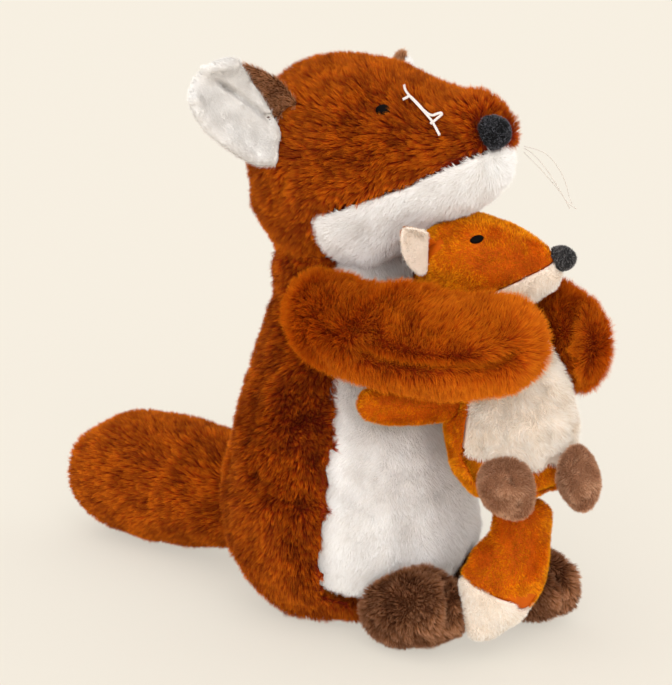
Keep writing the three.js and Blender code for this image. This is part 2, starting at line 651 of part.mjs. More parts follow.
// A sheet with the outline of an ear, cupped across and bent back along its length
function earSheet(size, share, depth, frame) {
  const last = size.outlineShares.length - 1;
  const sheet = new THREE.BoxGeometry(1, 1, 1, last, leaf, 1);
  const places = sheet.getAttribute('position');
  for (let i = 0; i < places.count; i += 1) {
    const along = places.getX(i) + 1 / 2;
    const across = places.getY(i) + places.getY(i);
    const width = size.outlineShares[Math.round(along * last)] * size.halfWide * share;
    const length = -size.root + (size.root + size.length * share) * along;
    const cup = size.cup * across * across + size.bend * along * along;
    const level = depth + places.getZ(i) * size.thickness + cup;
    const point = frame.root.clone()
      .addScaledVector(frame.out, length)
      .addScaledVector(frame.width, width * across)
      .addScaledVector(frame.face, level);
    places.setXYZ(i, point.x, point.y, point.z);
  }
  return solidOf(sheet);
}

// An ear clears the head it is sewn to, and any host that it passes as it flaps or as its head turns
function addEar(name, side, size, form, place, hosts = [], carrier = null) {
  const root = place(side * size.out, size.ahead, size.rise);
  const origin = place(0, 0, 0);
  const out = place(side * size.outShare, -size.backShare, size.upShare).sub(origin).normalize();
  const toward = place(side * size.faceOutShare, size.faceAheadShare, 0).sub(origin);
  const face = toward.addScaledVector(out, -toward.dot(out)).normalize();
  const width = new THREE.Vector3().crossVectors(face, out);
  const frame = { root, out, width, face };
  const hinge = { at: root, axis: width, least: -size.flapDeg, most: size.flapDeg };
  const hostsSwept = hosts.flatMap((host) => anglesOf(carrier)
    .flatMap((angle) => sweepOf(turned(host.skin(gap), carrier, -angle), hinge)));
  const cutters = [...sweepOf(form.skin(gap), hinge), ...hostsSwept];
  addPiece(`${name}_back`, cutBy(earSheet(size, 1, 0, frame), cutters), colours.brownFur);
  const liningDepth = size.thickness + gap;
  const lining = earSheet(size, size.liningShare, liningDepth, frame);
  addPiece(`${name}_lining`, cutBy(lining, cutters), colours.whiteFur);
}

const headPlace = (out, ahead, rise) => new THREE.Vector3(out, -ahead, headLift + rise);
addNose('nose', nose, headPlace(0, head.snout - nose.sink, nose.rise), headForm);
addEye('right_eye', eye, eye.rightAroundDeg, headForm);
addEye('left_eye', eye, eye.leftAroundDeg, headForm);
addEar('right_ear', -1, ear, headForm, headPlace);
addEar('left_ear', 1, leftEar, headForm, headPlace);

function strand(points, thick, steps, sides) {
  const ring = Array.from({ length: sides }, (_, i) => {
    const turn = Math.PI * 2 * i / sides;
    return new THREE.Vector2(Math.cos(turn) * thick / 2, Math.sin(turn) * thick / 2);
  });
  const extrudePath = new THREE.CatmullRomCurve3(points);
  return solidOf(new THREE.ExtrudeGeometry(new THREE.Shape(ring), { steps, extrudePath }));
}

addPiece('right_whiskers', strand(nearWhisker.routeShares.map(
  ({ along, aroundDeg }) => headForm.placeOn(along, aroundDeg, nearWhisker.lift)),
nearWhisker.thick, nearWhisker.steps, nearWhisker.sides), colours.thread);

const knotAt = headPlace(farWhisker.knotOut, farWhisker.knotAhead, -farWhisker.knotDrop);
const farStrands = farWhisker.rootAroundDegs.map((aroundDeg, i) => {
  const root = headForm.placeOn(farWhisker.rootAlongShare, aroundDeg, farWhisker.rootLift);
  const middle = root.clone().lerp(knotAt, 1 / 2).addScaledVector(upwards, farWhisker.bow * (1 - i));
  return strand([root, middle, knotAt], farWhisker.thick, farWhisker.steps, farWhisker.sides);
});
const knot = new THREE.SphereGeometry(farWhisker.knot, tiny.sides, tiny.rings);
addPiece('left_whiskers', farStrands.reduce(
  (all, one) => all.add(one), solidOf(knot.translate(knotAt.x, knotAt.y, knotAt.z))), colours.nylon);

// Fox limbs

sewLimb('right_arm', armForms.right, hinges.rightArm, furWall,
  { swept: [torsoForm], still: [headForm.solid(gap)] }, colours.orangeFur);
sewLimb('left_arm', armForms.left, hinges.leftArm, furWall,
  { swept: [torsoForm], still: [headForm.solid(gap), armForms.right.solid(gap)] }, colours.orangeFur);
sewLimb('right_foot', footForms.right, hinges.rightFoot, furWall,
  { swept: [torsoForm] }, colours.brownFur);
sewLimb('left_foot', footForms.left, hinges.leftFoot, furWall,
  { swept: [torsoForm] }, colours.brownFur);
sewLimb('tail', tailForm, hinges.tail, furWall, { swept: [torsoForm] }, colours.orangeFur);

// Kit body

const kitDents = ballDents(['kitNeck', 'kitRightArm', 'kitLeftArm', 'kitRightFoot', 'kitLeftFoot', 'kitTail']);
const kitTorsoCutters = [
  torsoForm.solid(gap), headForm.solid(gap), armForms.right.solid(gap), armForms.left.solid(gap), ...kitDents,
];
const kitTorsoInner = kitTorsoForm.solid(-velourWall, inside);
const kitTorsoShell = cutBy(kitTorsoForm.solid(), [...kitTorsoCutters, kitTorsoInner]);
const kitSeat = new THREE.Vector3(kitTorso.out, -kitTorso.ahead, kitSeatLift);
const kitBellyBlock = (spread) => prism(
  bellyOutline(kitBelly, kitTorso.height - kitBelly.belowNeck, spread), kitSeat, kitSide, 0, overrun);
addPiece('kit_body_cover', kitTorsoShell.subtract(kitBellyBlock(gap / 2)), colours.velour);
addPiece('kit_belly_panel', kitTorsoShell.intersect(kitBellyBlock(-gap / 2)), colours.cream);
const kitTorsoInside = kitTorsoForm.solid(-velourWall - gap, inside);
addPiece('kit_body_filling', cutBy(kitTorsoInside, kitTorsoCutters), colours.filling);

// Kit head

const kitHeadCutters = [armForms.right.solid(gap), ...[kitTorsoForm, torsoForm, headForm, armForms.left]
  .flatMap((form) => sweepOf(form.skin(gap), hinges.kitNeck))];
const kitNeckBall = ballOn(hinges.kitNeck, kitNeck.radius);
const kitNeckOpening = ballOn(hinges.kitNeck, kitNeck.radius + gap);
const kitHeadShell = cutBy(kitHeadForm.solid(),
  [...kitHeadCutters, kitHeadForm.solid(-velourWall, inside), kitNeckOpening]);
const kitChinBlock = (spread) => prism([
  [kitChin.back - spread, kitChin.low],
  [kitChin.back - spread, kitChin.seamLow + spread],
  [kitChin.front, kitChin.seamHigh + spread],
  [kitChin.front, kitChin.low],
], kitHeadMiddle, kitGaze, -overrun, overrun);
addPiece('kit_head_cover', kitHeadShell.subtract(kitChinBlock(gap / 2)), colours.velour);
addPiece('kit_chin_panel', kitHeadShell.intersect(kitChinBlock(-gap / 2)), colours.cream);
const kitHeadInside = cutBy(kitHeadForm.solid(-velourWall - gap, inside), kitHeadCutters);
addPiece('kit_head_filling', kitHeadInside.add(kitNeckBall), colours.filling);

const kitPlace = (out, ahead, rise) => kitHeadMiddle.clone()
  .addScaledVector(kitHeadSide, out).addScaledVector(kitGaze, ahead).addScaledVector(upwards, rise);
addNose('kit_nose', kitNose, kitPlace(0, kitHead.snout - kitNose.sink, kitNose.rise), kitHeadForm);
addEye('kit_right_eye', kitEye, kitEye.rightAroundDeg, kitHeadForm);
addEye('kit_left_eye', kitEye, kitEye.leftAroundDeg, kitHeadForm);
addEar('kit_right_ear', -1, kitEar, kitHeadForm, kitPlace, [headForm, torsoForm], hinges.kitNeck);
addEar('kit_left_ear', 1, kitEar, kitHeadForm, kitPlace, [headForm, torsoForm], hinges.kitNeck);

// Kit limbs

sewLimb('kit_right_arm', kitArmForms.right, hinges.kitRightArm, velourWall,
  { swept: [kitTorsoForm, torsoForm], still: [armForms.right.solid(gap)] }, colours.velour);
sewLimb('kit_left_arm', kitArmForms.left, hinges.kitLeftArm, velourWall,
  { swept: [kitTorsoForm, torsoForm], still: [armForms.left.solid(gap)] }, colours.velour);
sewLimb('kit_right_foot', kitFootForms.right, hinges.kitRightFoot, velourWall,
  { swept: [kitTorsoForm, torsoForm], still: [armForms.right.solid(gap)] }, colours.taupe);
sewLimb('kit_left_foot', kitFootForms.left, hinges.kitLeftFoot, velourWall,
  { swept: [kitTorsoForm, torsoForm], still: [armForms.right.solid(gap), kitFootForms.right.solid(gap)] },
  colours.taupe);

sewLimb('kit_tail', kitTailForm, hinges.kitTail, velourWall, {
  swept: [kitTorsoForm, torsoForm, footForms.right, footForms.left],
  still: [
    ...reachOf(footForms.right, hinges.rightFoot), ...reachOf(footForms.left, hinges.leftFoot),
    kitFootForms.right.solid(gap), kitFootForms.left.solid(gap),
  ],
}, colours.velour, [
  {
    name: 'kit_tail_cover', colour: colours.velour,
    keep: slab(kitTailLift * kitTail.seamLiftShare + gap / 2, torso.height + overrun),
  },
  {
    name: 'kit_tail_tip', colour: colours.cream,
    keep: slab(-overrun, kitTailLift * kitTail.seamLiftShare - gap / 2),
  },
]);

export default group;
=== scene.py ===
import bpy
import bmesh
import math
import numpy as np
from mathutils import Matrix, Vector
from mathutils.bvhtree import BVHTree


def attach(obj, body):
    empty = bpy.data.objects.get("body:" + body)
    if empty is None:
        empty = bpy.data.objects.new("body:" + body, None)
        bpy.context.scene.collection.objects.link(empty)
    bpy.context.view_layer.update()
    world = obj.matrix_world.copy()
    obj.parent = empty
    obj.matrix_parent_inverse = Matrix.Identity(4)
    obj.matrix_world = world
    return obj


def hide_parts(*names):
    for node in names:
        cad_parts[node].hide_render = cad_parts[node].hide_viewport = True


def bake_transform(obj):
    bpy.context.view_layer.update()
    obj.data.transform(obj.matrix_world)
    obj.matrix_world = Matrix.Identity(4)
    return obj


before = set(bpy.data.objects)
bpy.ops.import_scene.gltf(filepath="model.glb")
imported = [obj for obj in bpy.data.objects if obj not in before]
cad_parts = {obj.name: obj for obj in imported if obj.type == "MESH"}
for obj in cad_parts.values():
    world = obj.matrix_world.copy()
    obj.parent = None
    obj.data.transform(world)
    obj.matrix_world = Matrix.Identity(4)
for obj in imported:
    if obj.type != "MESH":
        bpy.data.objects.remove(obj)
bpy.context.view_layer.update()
scene = bpy.context.scene
mm = 0.001


# camera, at the photograph's three-quarter angle
cameraSetup = {"place": (-0.8018, -0.6654, 0.3680), "turnDeg": -50, "downDeg": 14, "lens": 144.5}

camData = bpy.data.cameras.new("camera")
camData.lens = cameraSetup["lens"]
camData.clip_start, camData.clip_end = 0.05, 30
camera = bpy.data.objects.new("camera", camData)
scene.collection.objects.link(camera)
camera.location = cameraSetup["place"]
camera.rotation_euler = (math.radians(90 - cameraSetup["downDeg"]), 0, math.radians(cameraSetup["turnDeg"]))
scene.camera = camera
print("camera placed")


# helpers for numbers laid out in arrays
def unit(v):
    return v / np.maximum(np.linalg.norm(v, axis=-1, keepdims=True), 1e-9)


# soft lumps of this size, from 0 to 1
def cloud(points, size, seed):
    q = points / size + seed * 7.31
    cell = np.floor(q).astype(np.int64)
    f = q - cell
    f = f * f * (3 - 2 * f)
    total = np.zeros(len(points))
    for corner in np.ndindex(2, 2, 2):
        c = cell + np.array(corner)
        key = (c[:, 0] * 73856093) ^ (c[:, 1] * 19349663) ^ (c[:, 2] * 83492791) ^ (seed * 40503)
        key = (key ^ (key >> 13)) * 1274126177
        value = ((key ^ (key >> 16)) & 0xFFFFF) / 0xFFFFF
        weight = np.ones(len(points))
        for axis in range(3):
            weight = weight * (f[:, axis] if corner[axis] else 1 - f[:, axis])
        total += value * weight
    return total


def readMesh(mesh):
    points = np.empty(len(mesh.vertices) * 3)
    mesh.vertices.foreach_get("co", points)
    normals = np.empty(len(mesh.vertices) * 3)
    mesh.vertices.foreach_get("normal", normals)
    mesh.calc_loop_triangles()
    tris = np.empty(len(mesh.loop_triangles) * 3, dtype=np.int32)
    mesh.loop_triangles.foreach_get("vertices", tris)
    return points.reshape(-1, 3), normals.reshape(-1, 3), tris.reshape(-1, 3)


# pieces start as merged copies of the CAD nodes
def mergedCopy(name, nodes, cut=None):
    bm = bmesh.new()
    for node in nodes:
        bm.from_mesh(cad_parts[node].data)
    bmesh.ops.remove_doubles(bm, verts=bm.verts, dist=1e-5)
    if cut:
        bmesh.ops.bisect_plane(
            bm, geom=bm.verts[:] + bm.edges[:] + bm.faces[:], plane_co=Vector(cut[0]) * mm, plane_no=cut[1],
            clear_outer=True)
        bmesh.ops.holes_fill(bm, edges=[e for e in bm.edges if e.is_boundary], sides=0)
        bmesh.ops.triangulate(bm, faces=bm.faces)
    mesh = bpy.data.meshes.new(name)
    bm.to_mesh(mesh)
    bm.free()
    obj = bpy.data.objects.new(name, mesh)
    scene.collection.objects.link(obj)
    return obj


def bake(obj):
    bpy.context.view_layer.update()
    graph = bpy.context.evaluated_depsgraph_get()
    mesh = bpy.data.meshes.new_from_object(obj.evaluated_get(graph))
    old = obj.data
    obj.modifiers.clear()
    obj.data = mesh
    bpy.data.meshes.remove(old)
    return obj


def smoothed(obj, rounds):
    smooth = obj.modifiers.new("smooth", "SMOOTH")
    smooth.factor = 0.5
    smooth.iterations = rounds
    return bake(obj)


def stuffed(name, nodes, voxel, rounds, cut=None):
    obj = mergedCopy(name, nodes, cut)
    remesh = obj.modifiers.new("remesh", "REMESH")
    remesh.mode = "VOXEL"
    remesh.voxel_size = voxel
    return smoothed(obj, rounds)


def softened(name, nodes, levels, rounds, cut=None):
    obj = mergedCopy(name, nodes, cut)
    sub = obj.modifiers.new("subdivide", "SUBSURF")
    sub.levels = sub.render_levels = levels
    return smoothed(obj, rounds)


def treeOf(nodes):
    points, faces = [], []
    for node in nodes:
        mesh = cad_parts[node].data
        start = len(points)
        points += [tuple(v.co) for v in mesh.vertices]
        faces += [tuple(start + i for i in p.vertices) for p in mesh.polygons]
    return BVHTree.FromPolygons(points, faces)


def strokeField(points, normals, strokes):
    places = np.array([s[0] for s in strokes], float) * mm
    ways = unit(np.array([s[1] for s in strokes], float))
    gap = np.linalg.norm(points[:, None, :] - places[None], axis=2)
    share = 1 / (gap + 4 * mm) ** 3
    flow = (share[:, :, None] * ways[None]).sum(1) / share.sum(1)[:, None]
    flow = flow - normals * (flow * normals).sum(1)[:, None]
    return unit(flow)


# a sewn or pressed line draws the skin in, or moves it all one way where the piece is thin
def crease(points, normals, line, width, depth, way=None):
    line = np.array(line, float) * mm
    best = np.full(len(points), 1e9)
    for a, b in zip(line[:-1], line[1:]):
        along = np.clip(((points - a) @ (b - a)) / ((b - a) @ (b - a)), 0, 1)
        best = np.minimum(best, np.linalg.norm(points - (a + along[:, None] * (b - a)), axis=1))
    inward = -normals if way is None else unit(np.array(way, float))
    return points + inward * (depth * mm * np.exp(-(best / (width * mm)) ** 2))[:, None]


# pulls the skin at a few places, as fingers would
def pulled(points, pulls):
    move, total = np.zeros_like(points), np.zeros(len(points))
    for place, radius, way in pulls:
        share = np.exp(-(np.linalg.norm(points - np.array(place) * mm, axis=1) / (radius * mm)) ** 2)
        move += share[:, None] * np.array(way) * mm
        total += share
    return points + move / np.maximum(total, 1)[:, None]


# stuffing pushes the skin out from an upright line, from nothing at one height to all at another
def ringed(points, rings):
    for x, y, none, full, out, front in rings:
        away = unit((points - np.array((x, y, 0)) * mm) * (1, 1, 0))
        share = np.clip((points[:, 2] / mm - none) / (full - none), 0, 1)
        ahead = np.clip(-away[:, 1] * 1.5, 0, 1)
        points = points + away * (share * out * mm * (1 - (1 - front) * ahead))[:, None]
    return points


def stretched(points, stretches):
    for centre, way, factor in stretches:
        way = unit(np.array(way, float))
        reach = (points - np.array(centre) * mm) @ way
        points = points + reach[:, None] * way * (factor - 1)
    return points


def shifted(points, shift):
    return points + np.array(shift, float) * mm


def normalsOf(points, tris):
    a, b, c = (points[tris[:, i]] for i in range(3))
    flat = np.cross(b - a, c - a)
    out = np.zeros_like(points)
    for i in range(3):
        for axis in range(3):
            out[:, axis] += np.bincount(tris[:, i], flat[:, axis], len(points))
    return unit(out)


# gaps in mm between the skin, its pile, their neighbours and the floor
gapsMm = {
    "search": 4, "clear": 0.2, "buried": 0.5, "touching": 0.9, "underHost": 3, "rooted": 0.2,
    "skinFloor": 0.3, "pileFloor": 0.1}
# how much of its length the pile keeps under other pieces, straight up and along its lean
roomRules = {
    "facing": 0.7, "aboveLeast": 0.3, "aboveShare": 0.5, "leanReach": 1.3, "leanLeast": 0.2, "leanLoss": 0.05,
    "bare": 0.12}
# how far strands vary, as a least share and a span on top of it
strandSpans = {"length": (0.68, 0.5), "tuftLength": (0.8, 0.4), "gather": (0.5, 0.5), "width": (0.7, 0.6)}
toneShares = {"patches": 0.5, "stray": 0.3, "least": 0.05, "most": 0.95}
cloudSeeds = {"lumps": 31, "patches": 21, "swirl": 3, "rise": 5, "length": 9, "warp": (11, 12, 13)}
riseDeg = {"pressed": 72, "clumps": 30, "least": 4, "most": 84}
# half widths and heights of skin and strand triangles on the colour map
mapSizes = {"skinRow": 0.03, "skinHalf": 0.02, "skinTall": 0.04, "strandHalf": 0.03}


def spanned(span, shares):
    return span[0] + span[1] * shares


def shapedSkin(points, normals, tris, pile):
    lumps = (cloud(points, pile["lumpSize"] * mm, cloudSeeds["lumps"]) - 0.5) * pile["lump"] * 2
    points = points + normals * ((pile["swell"] + lumps) * mm)[:, None]
    points = shifted(stretched(points, pile.get("stretches", ())), pile.get("shift", (0, 0, 0)))
    points = ringed(points, pile.get("rings", ()))
    points = pulled(points, pile.get("pulls", ()))
    normals = normalsOf(points, tris)
    for line in pile.get("creases", ()):
        points = crease(points, normals, **line)
    return points, normals


# the skin keeps clear of its neighbours, and its pile has little room where they are close
def clearedSkin(points, normals, flow, own, hosts, pile):
    mates = pile.get("mates", ())
    others = [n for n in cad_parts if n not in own]
    tree = treeOf([n for n in others if n not in mates])
    hostTree = treeOf([n for n in hosts if n not in own])
    freeTree = treeOf([n for n in others if n not in hosts and n not in mates])
    lean = math.radians(pile["leanDeg"])
    look = unit(normals * math.cos(lean) + flow * math.sin(lean))
    clear = gapsMm["clear"]
    length = pile["length"] * mm
    reach = pile.get("reach", gapsMm["underHost"]) * mm
    uncovered = np.zeros(len(points), bool)
    if "open" in pile:
        uncovered = (points - np.array(pile["open"][0]) * mm) @ np.array(pile["open"][1]) > 0
    room = np.full(len(points), 1.0)
    for i in range(len(points)):
        up = Vector(normals[i])
        near, facing, _, gap = tree.find_nearest(Vector(points[i]), gapsMm["search"] * mm)
        if near is not None:
            away = (Vector(points[i]) - near).dot(facing)
            if away < clear * mm and abs(away) > roomRules["facing"] * gap:
                points[i] = near + facing * clear * mm
                if away < -gapsMm["buried"] * mm:
                    room[i] = 0
        start = Vector(points[i] + normals[i] * clear * mm)
        if hosts and not uncovered[i] and hostTree.ray_cast(start, up, reach)[0] is not None:
            room[i] = 0
            points[i] -= normals[i] * pile.get("sink", 0) * mm
            continue
        hit = freeTree.ray_cast(start, up, length)
        if hit[0] is not None and hit[3] < gapsMm["touching"] * mm:
            room[i] = 0
        elif hit[0] is not None:
            room[i] = min(room[i], roomRules["aboveLeast"] + roomRules["aboveShare"] * hit[3] / length)
        if room[i] > 0:
            hit = freeTree.ray_cast(start, Vector(look[i]), length * roomRules["leanReach"])
            if hit[0] is not None:
                room[i] = min(room[i], max(roomRules["leanLeast"], hit[3] / length - roomRules["leanLoss"]))
    for place, radius, share in pile.get("trims", ()):
        gap = np.linalg.norm(points - np.array(place) * mm, axis=1)
        room *= 1 - (1 - share) * np.exp(-(gap / (radius * mm)) ** 2)
    points[:, 2] = np.maximum(points[:, 2], gapsMm["skinFloor"] * mm)
    return points, room


# one point is dropped on the skin for each strand
def strandRoots(points, tris, room, flow, pile, rng):
    a, b, c = (points[tris[:, i]] for i in range(3))
    area = np.linalg.norm(np.cross(b - a, c - a), axis=1) / 2
    wanted = area * 1e6 * pile["perSquareMm"] * (room[tris].min(1) > roomRules["bare"])
    counts = np.floor(wanted + rng.random(len(tris))).astype(int)
    face = np.repeat(np.arange(len(tris)), counts)
    share = rng.random((len(face), 2))
    share[share.sum(1) > 1] = 1 - share[share.sum(1) > 1]
    mix = np.stack([1 - share.sum(1), share[:, 0], share[:, 1]], 1)[:, :, None]
    spread = (points, normalsOf(points, tris), flow, room[:, None])
    root, up, way, size = ((values[tris[face]] * mix).sum(1) for values in spread)
    up = unit(up)
    way = unit(way - up * (way * up).sum(1)[:, None])
    return root, up, way, size[:, 0]


# lay turns a little from tuft to tuft and from strand to strand, and the tips gather into tufts
def strandTips(root, up, way, size, pile, rng):
    n = len(root)
    turn = (cloud(root, pile["swirl"] * mm, cloudSeeds["swirl"]) - 0.5) * math.radians(pile["swirlDeg"])
    turn += (rng.random(n) - 0.5) * math.radians(pile["strayDeg"])
    way = way * np.cos(turn)[:, None] + np.cross(up, way) * np.sin(turn)[:, None]
    rise = pile["leanDeg"] + (riseDeg["pressed"] - pile["leanDeg"]) * (1 - size)
    rise = rise + (rng.random(n) - 0.5) * pile["ruffleDeg"]
    rise = rise + (cloud(root, pile["tuft"] * 2 * mm, cloudSeeds["rise"]) - 0.5) * riseDeg["clumps"]
    rise = np.radians(np.clip(rise, riseDeg["least"], riseDeg["most"]))
    length = pile["length"] * mm * np.sqrt(size) * spanned(strandSpans["length"], rng.random(n))
    length *= spanned(strandSpans["tuftLength"], cloud(root, pile["tuft"] * mm, cloudSeeds["length"]))
    tip = root + (up * np.cos(rise)[:, None] + way * np.sin(rise)[:, None]) * length[:, None]
    warp = np.stack([cloud(root, pile["tuft"] * 1.5 * mm, seed) for seed in cloudSeeds["warp"]], 1)
    warp = warp * pile["tuft"] * 2 * mm
    cell = np.floor((root + warp) / (pile["tuft"] * mm)).astype(np.int64)
    key = cell[:, 0] * 1000003 + cell[:, 1] * 1009 + cell[:, 2]
    _, group, number = np.unique(key, return_inverse=True, return_counts=True)
    group = group.ravel()
    centre = np.stack([np.bincount(group, tip[:, i]) / number for i in range(3)], 1)
    pull = pile["gather"] * spanned(strandSpans["gather"], rng.random(n))
    tip = tip + (centre[group] - tip) * pull[:, None]
    return tip, group, len(number)


# strands run from dark at 0 to light at 1
def strandTones(root, group, tufts, pile, rng):
    lot = rng.random(tufts)
    patches = cloud(root, pile["patch"] * mm, cloudSeeds["patches"]) - 0.5
    tone = 0.5 + toneShares["patches"] * patches + toneShares["stray"] * (rng.random(len(root)) - 0.5)
    tone += pile["tuftTone"] * (lot[group] - 0.5)
    tone = (tone - 0.5) * pile["toneSpan"] + 0.5 + pile.get("lift", 0)
    return np.clip(tone, toneShares["least"], toneShares["most"])


# a strand is one thin triangle, rolled a little about its length
def strandBlades(root, tip, up, pile, rng):
    n = len(root)
    roll = (rng.random(n) - 0.5) * math.radians(pile["rollDeg"])
    side = unit(np.cross(unit(tip - root), up))
    over = np.cross(side, unit(tip - root))
    side = side * np.cos(roll)[:, None] + over * np.sin(roll)[:, None]
    half = side * (pile["width"] * mm / 2 * spanned(strandSpans["width"], rng.random(n)))[:, None]
    root = root - up * gapsMm["rooted"] * mm
    blades = np.stack([root - half, root + half, tip], 1).reshape(-1, 3)
    blades[:, 2] = np.maximum(blades[:, 2], gapsMm["pileFloor"] * mm)
    return blades


# its colour map runs from root to tip one way and from dark to light strands the other
def pileMesh(name, points, tris, blades, tone, pile):
    n = len(tone)
    patches = cloud(points, pile["patch"] * mm, cloudSeeds["patches"]) - 0.5
    skinTone = np.clip(0.5 + toneShares["patches"] * patches, toneShares["least"], toneShares["most"])
    # the skin sits at the root end of the colour map, so it takes the dark root colour as painted shade
    # between the strands
    skinUv = np.repeat(np.stack([skinTone[tris].mean(1), np.full(len(tris), mapSizes["skinRow"])], 1), 3, 0)
    corners = [[-mapSizes["skinHalf"], 0], [mapSizes["skinHalf"], 0], [0, mapSizes["skinTall"]]]
    skinUv += np.tile(np.array(corners), (len(tris), 1))
    bladeUv = np.repeat(np.stack([tone, np.zeros(n)], 1), 3, 0)
    corners = [[-mapSizes["strandHalf"], 0], [mapSizes["strandHalf"], 0], [0, 1]]
    bladeUv += np.tile(np.array(corners), (n, 1))
    allPoints = np.concatenate([points, blades])
    allTris = np.concatenate([tris, len(points) + np.arange(n * 3).reshape(-1, 3)])
    mesh = bpy.data.meshes.new(name)
    mesh.vertices.add(len(allPoints))
    mesh.vertices.foreach_set("co", allPoints.ravel())
    mesh.loops.add(len(allTris) * 3)
    mesh.loops.foreach_set("vertex_index", allTris.astype(np.int32).ravel())
    mesh.polygons.add(len(allTris))
    mesh.polygons.foreach_set("loop_start", np.arange(0, len(allTris) * 3, 3, dtype=np.int32))
    mesh.polygons.foreach_set("use_smooth", np.ones(len(allTris), dtype=bool))
    mesh.update(calc_edges=True)
    layer = mesh.uv_layers.new(name="OFBake")
    layer.data.foreach_set("uv", np.concatenate([skinUv, bladeUv]).ravel())
    return mesh


def plush(obj, own, pile, hosts=()):
    points, normals, tris = readMesh(obj.data)
    points, normals = shapedSkin(points, normals, tris, pile)
    flow = strokeField(points, normals, pile["strokes"])
    points, room = clearedSkin(points, normals, flow, own, hosts, pile)
    rng = np.random.default_rng(pile["seed"])
    root, up, way, size = strandRoots(points, tris, room, flow, pile, rng)
    tip, group, tufts = strandTips(root, up, way, size, pile, rng)
    tone = strandTones(root, group, tufts, pile, rng)
    blades = strandBlades(root, tip, up, pile, rng)
    old = obj.data
    obj.data = pileMesh(obj.name, points, tris, blades, tone, pile)
    bpy.data.meshes.remove(old)
    print(obj.name, "skin", len(tris), "strands", len(root))


# colours are written from 0 to 255 and mixed as linear light
def linear(colour):
    shares = [c / 255 for c in colour]
    return tuple((c / 12.92 if c <= 0.04045 else ((c + 0.055) / 1.055) ** 2.4) for c in shares) + (1,)


def newMaterial(name):
    material = bpy.data.materials.new(name)
    material.use_nodes = True
    nodes, links = material.node_tree.nodes, material.node_tree.links
    return material, nodes, links, nodes["Principled BSDF"]


def addRamp(nodes, links, source, stops):
    ramp = nodes.new("ShaderNodeValToRGB")
    marks = ramp.color_ramp.elements
    for end in (0, -1):
        marks[end].position, marks[end].color = stops[end][0], linear(stops[end][1])
    for place, colour in stops[1:-1]:
        marks.new(place).color = linear(colour)
    links.new(source, ramp.inputs[0])
    return ramp.outputs[0]


def addRoughness(nodes, links, source, shader, low, high):
    rough = nodes.new("ShaderNodeMapRange")
    rough.inputs["To Min"].default_value = low
    rough.inputs["To Max"].default_value = high
    links.new(source, rough.inputs[0])
    links.new(rough.outputs[0], shader.inputs["Roughness"])


def addBump(nodes, links, source, shader, strength, distance):
    bump = nodes.new("ShaderNodeBump")
    bump.inputs["Strength"].default_value = strength
    bump.inputs["Distance"].default_value = distance
    links.new(source, bump.inputs["Height"])
    links.new(bump.outputs[0], shader.inputs["Normal"])


# where the colours sit from root to tip and from dark to light strands, and the grain of a strand
pileShade = {
    "middleAt": 0.45, "darkAt": 0.15, "lightAt": 0.85, "roughSpan": 0.06, "grain": (90, 6, 1), "bump": 0.15,
    "bumpDepth": 0.0002, "specular": 0.12, "sheenRough": 0.5}


def pileMaterial(name, look):
    material, nodes, links, shader = newMaterial(name)
    uv = nodes.new("ShaderNodeUVMap")
    uv.uv_map = "OFBake"
    split = nodes.new("ShaderNodeSeparateXYZ")
    links.new(uv.outputs[0], split.inputs[0])
    # strands darken to the root, partly their dye and partly painted shade deep in the pile, and lighten to
    # the tip, partly their dye and partly painted highlight
    lengthwise = [(0, look["root"]), (pileShade["middleAt"], look["middle"]), (1, look["tip"])]
    sideways = [(pileShade["darkAt"], look["dark"]), (pileShade["lightAt"], (255, 255, 255))]
    mix = nodes.new("ShaderNodeMix")
    mix.data_type, mix.blend_type = "RGBA", "MULTIPLY"
    mix.inputs["Factor"].default_value = 1
    links.new(addRamp(nodes, links, split.outputs[1], lengthwise), mix.inputs[6])
    links.new(addRamp(nodes, links, split.outputs[0], sideways), mix.inputs[7])
    links.new(mix.outputs[2], shader.inputs["Base Color"])
    roughest, smoothest = look["rough"] + pileShade["roughSpan"], look["rough"] - pileShade["roughSpan"]
    addRoughness(nodes, links, split.outputs[0], shader, roughest, smoothest)
    grow = nodes.new("ShaderNodeMapping")
    grow.inputs["Scale"].default_value = pileShade["grain"]
    links.new(uv.outputs[0], grow.inputs[0])
    grain = nodes.new("ShaderNodeTexNoise")
    grain.inputs["Scale"].default_value = 1
    grain.inputs["Detail"].default_value = 3
    links.new(grow.outputs[0], grain.inputs[0])
    addBump(nodes, links, grain.outputs[0], shader, pileShade["bump"], pileShade["bumpDepth"])
    shader.inputs["Specular IOR Level"].default_value = pileShade["specular"]
    shader.inputs["Sheen Weight"].default_value = look["sheen"]
    shader.inputs["Sheen Roughness"].default_value = pileShade["sheenRough"]
    shader.inputs["Sheen Tint"].default_value = linear(look["tip"])
    return material


# each root colour is partly painted shade deep in the pile, and each tip colour partly painted highlight
rustPile = pileMaterial("rust_pile", {
    "root": (124, 28, 1), "middle": (194, 70, 1), "tip": (236, 132, 16), "dark": (165, 140, 125),
    "rough": 0.8, "sheen": 0})
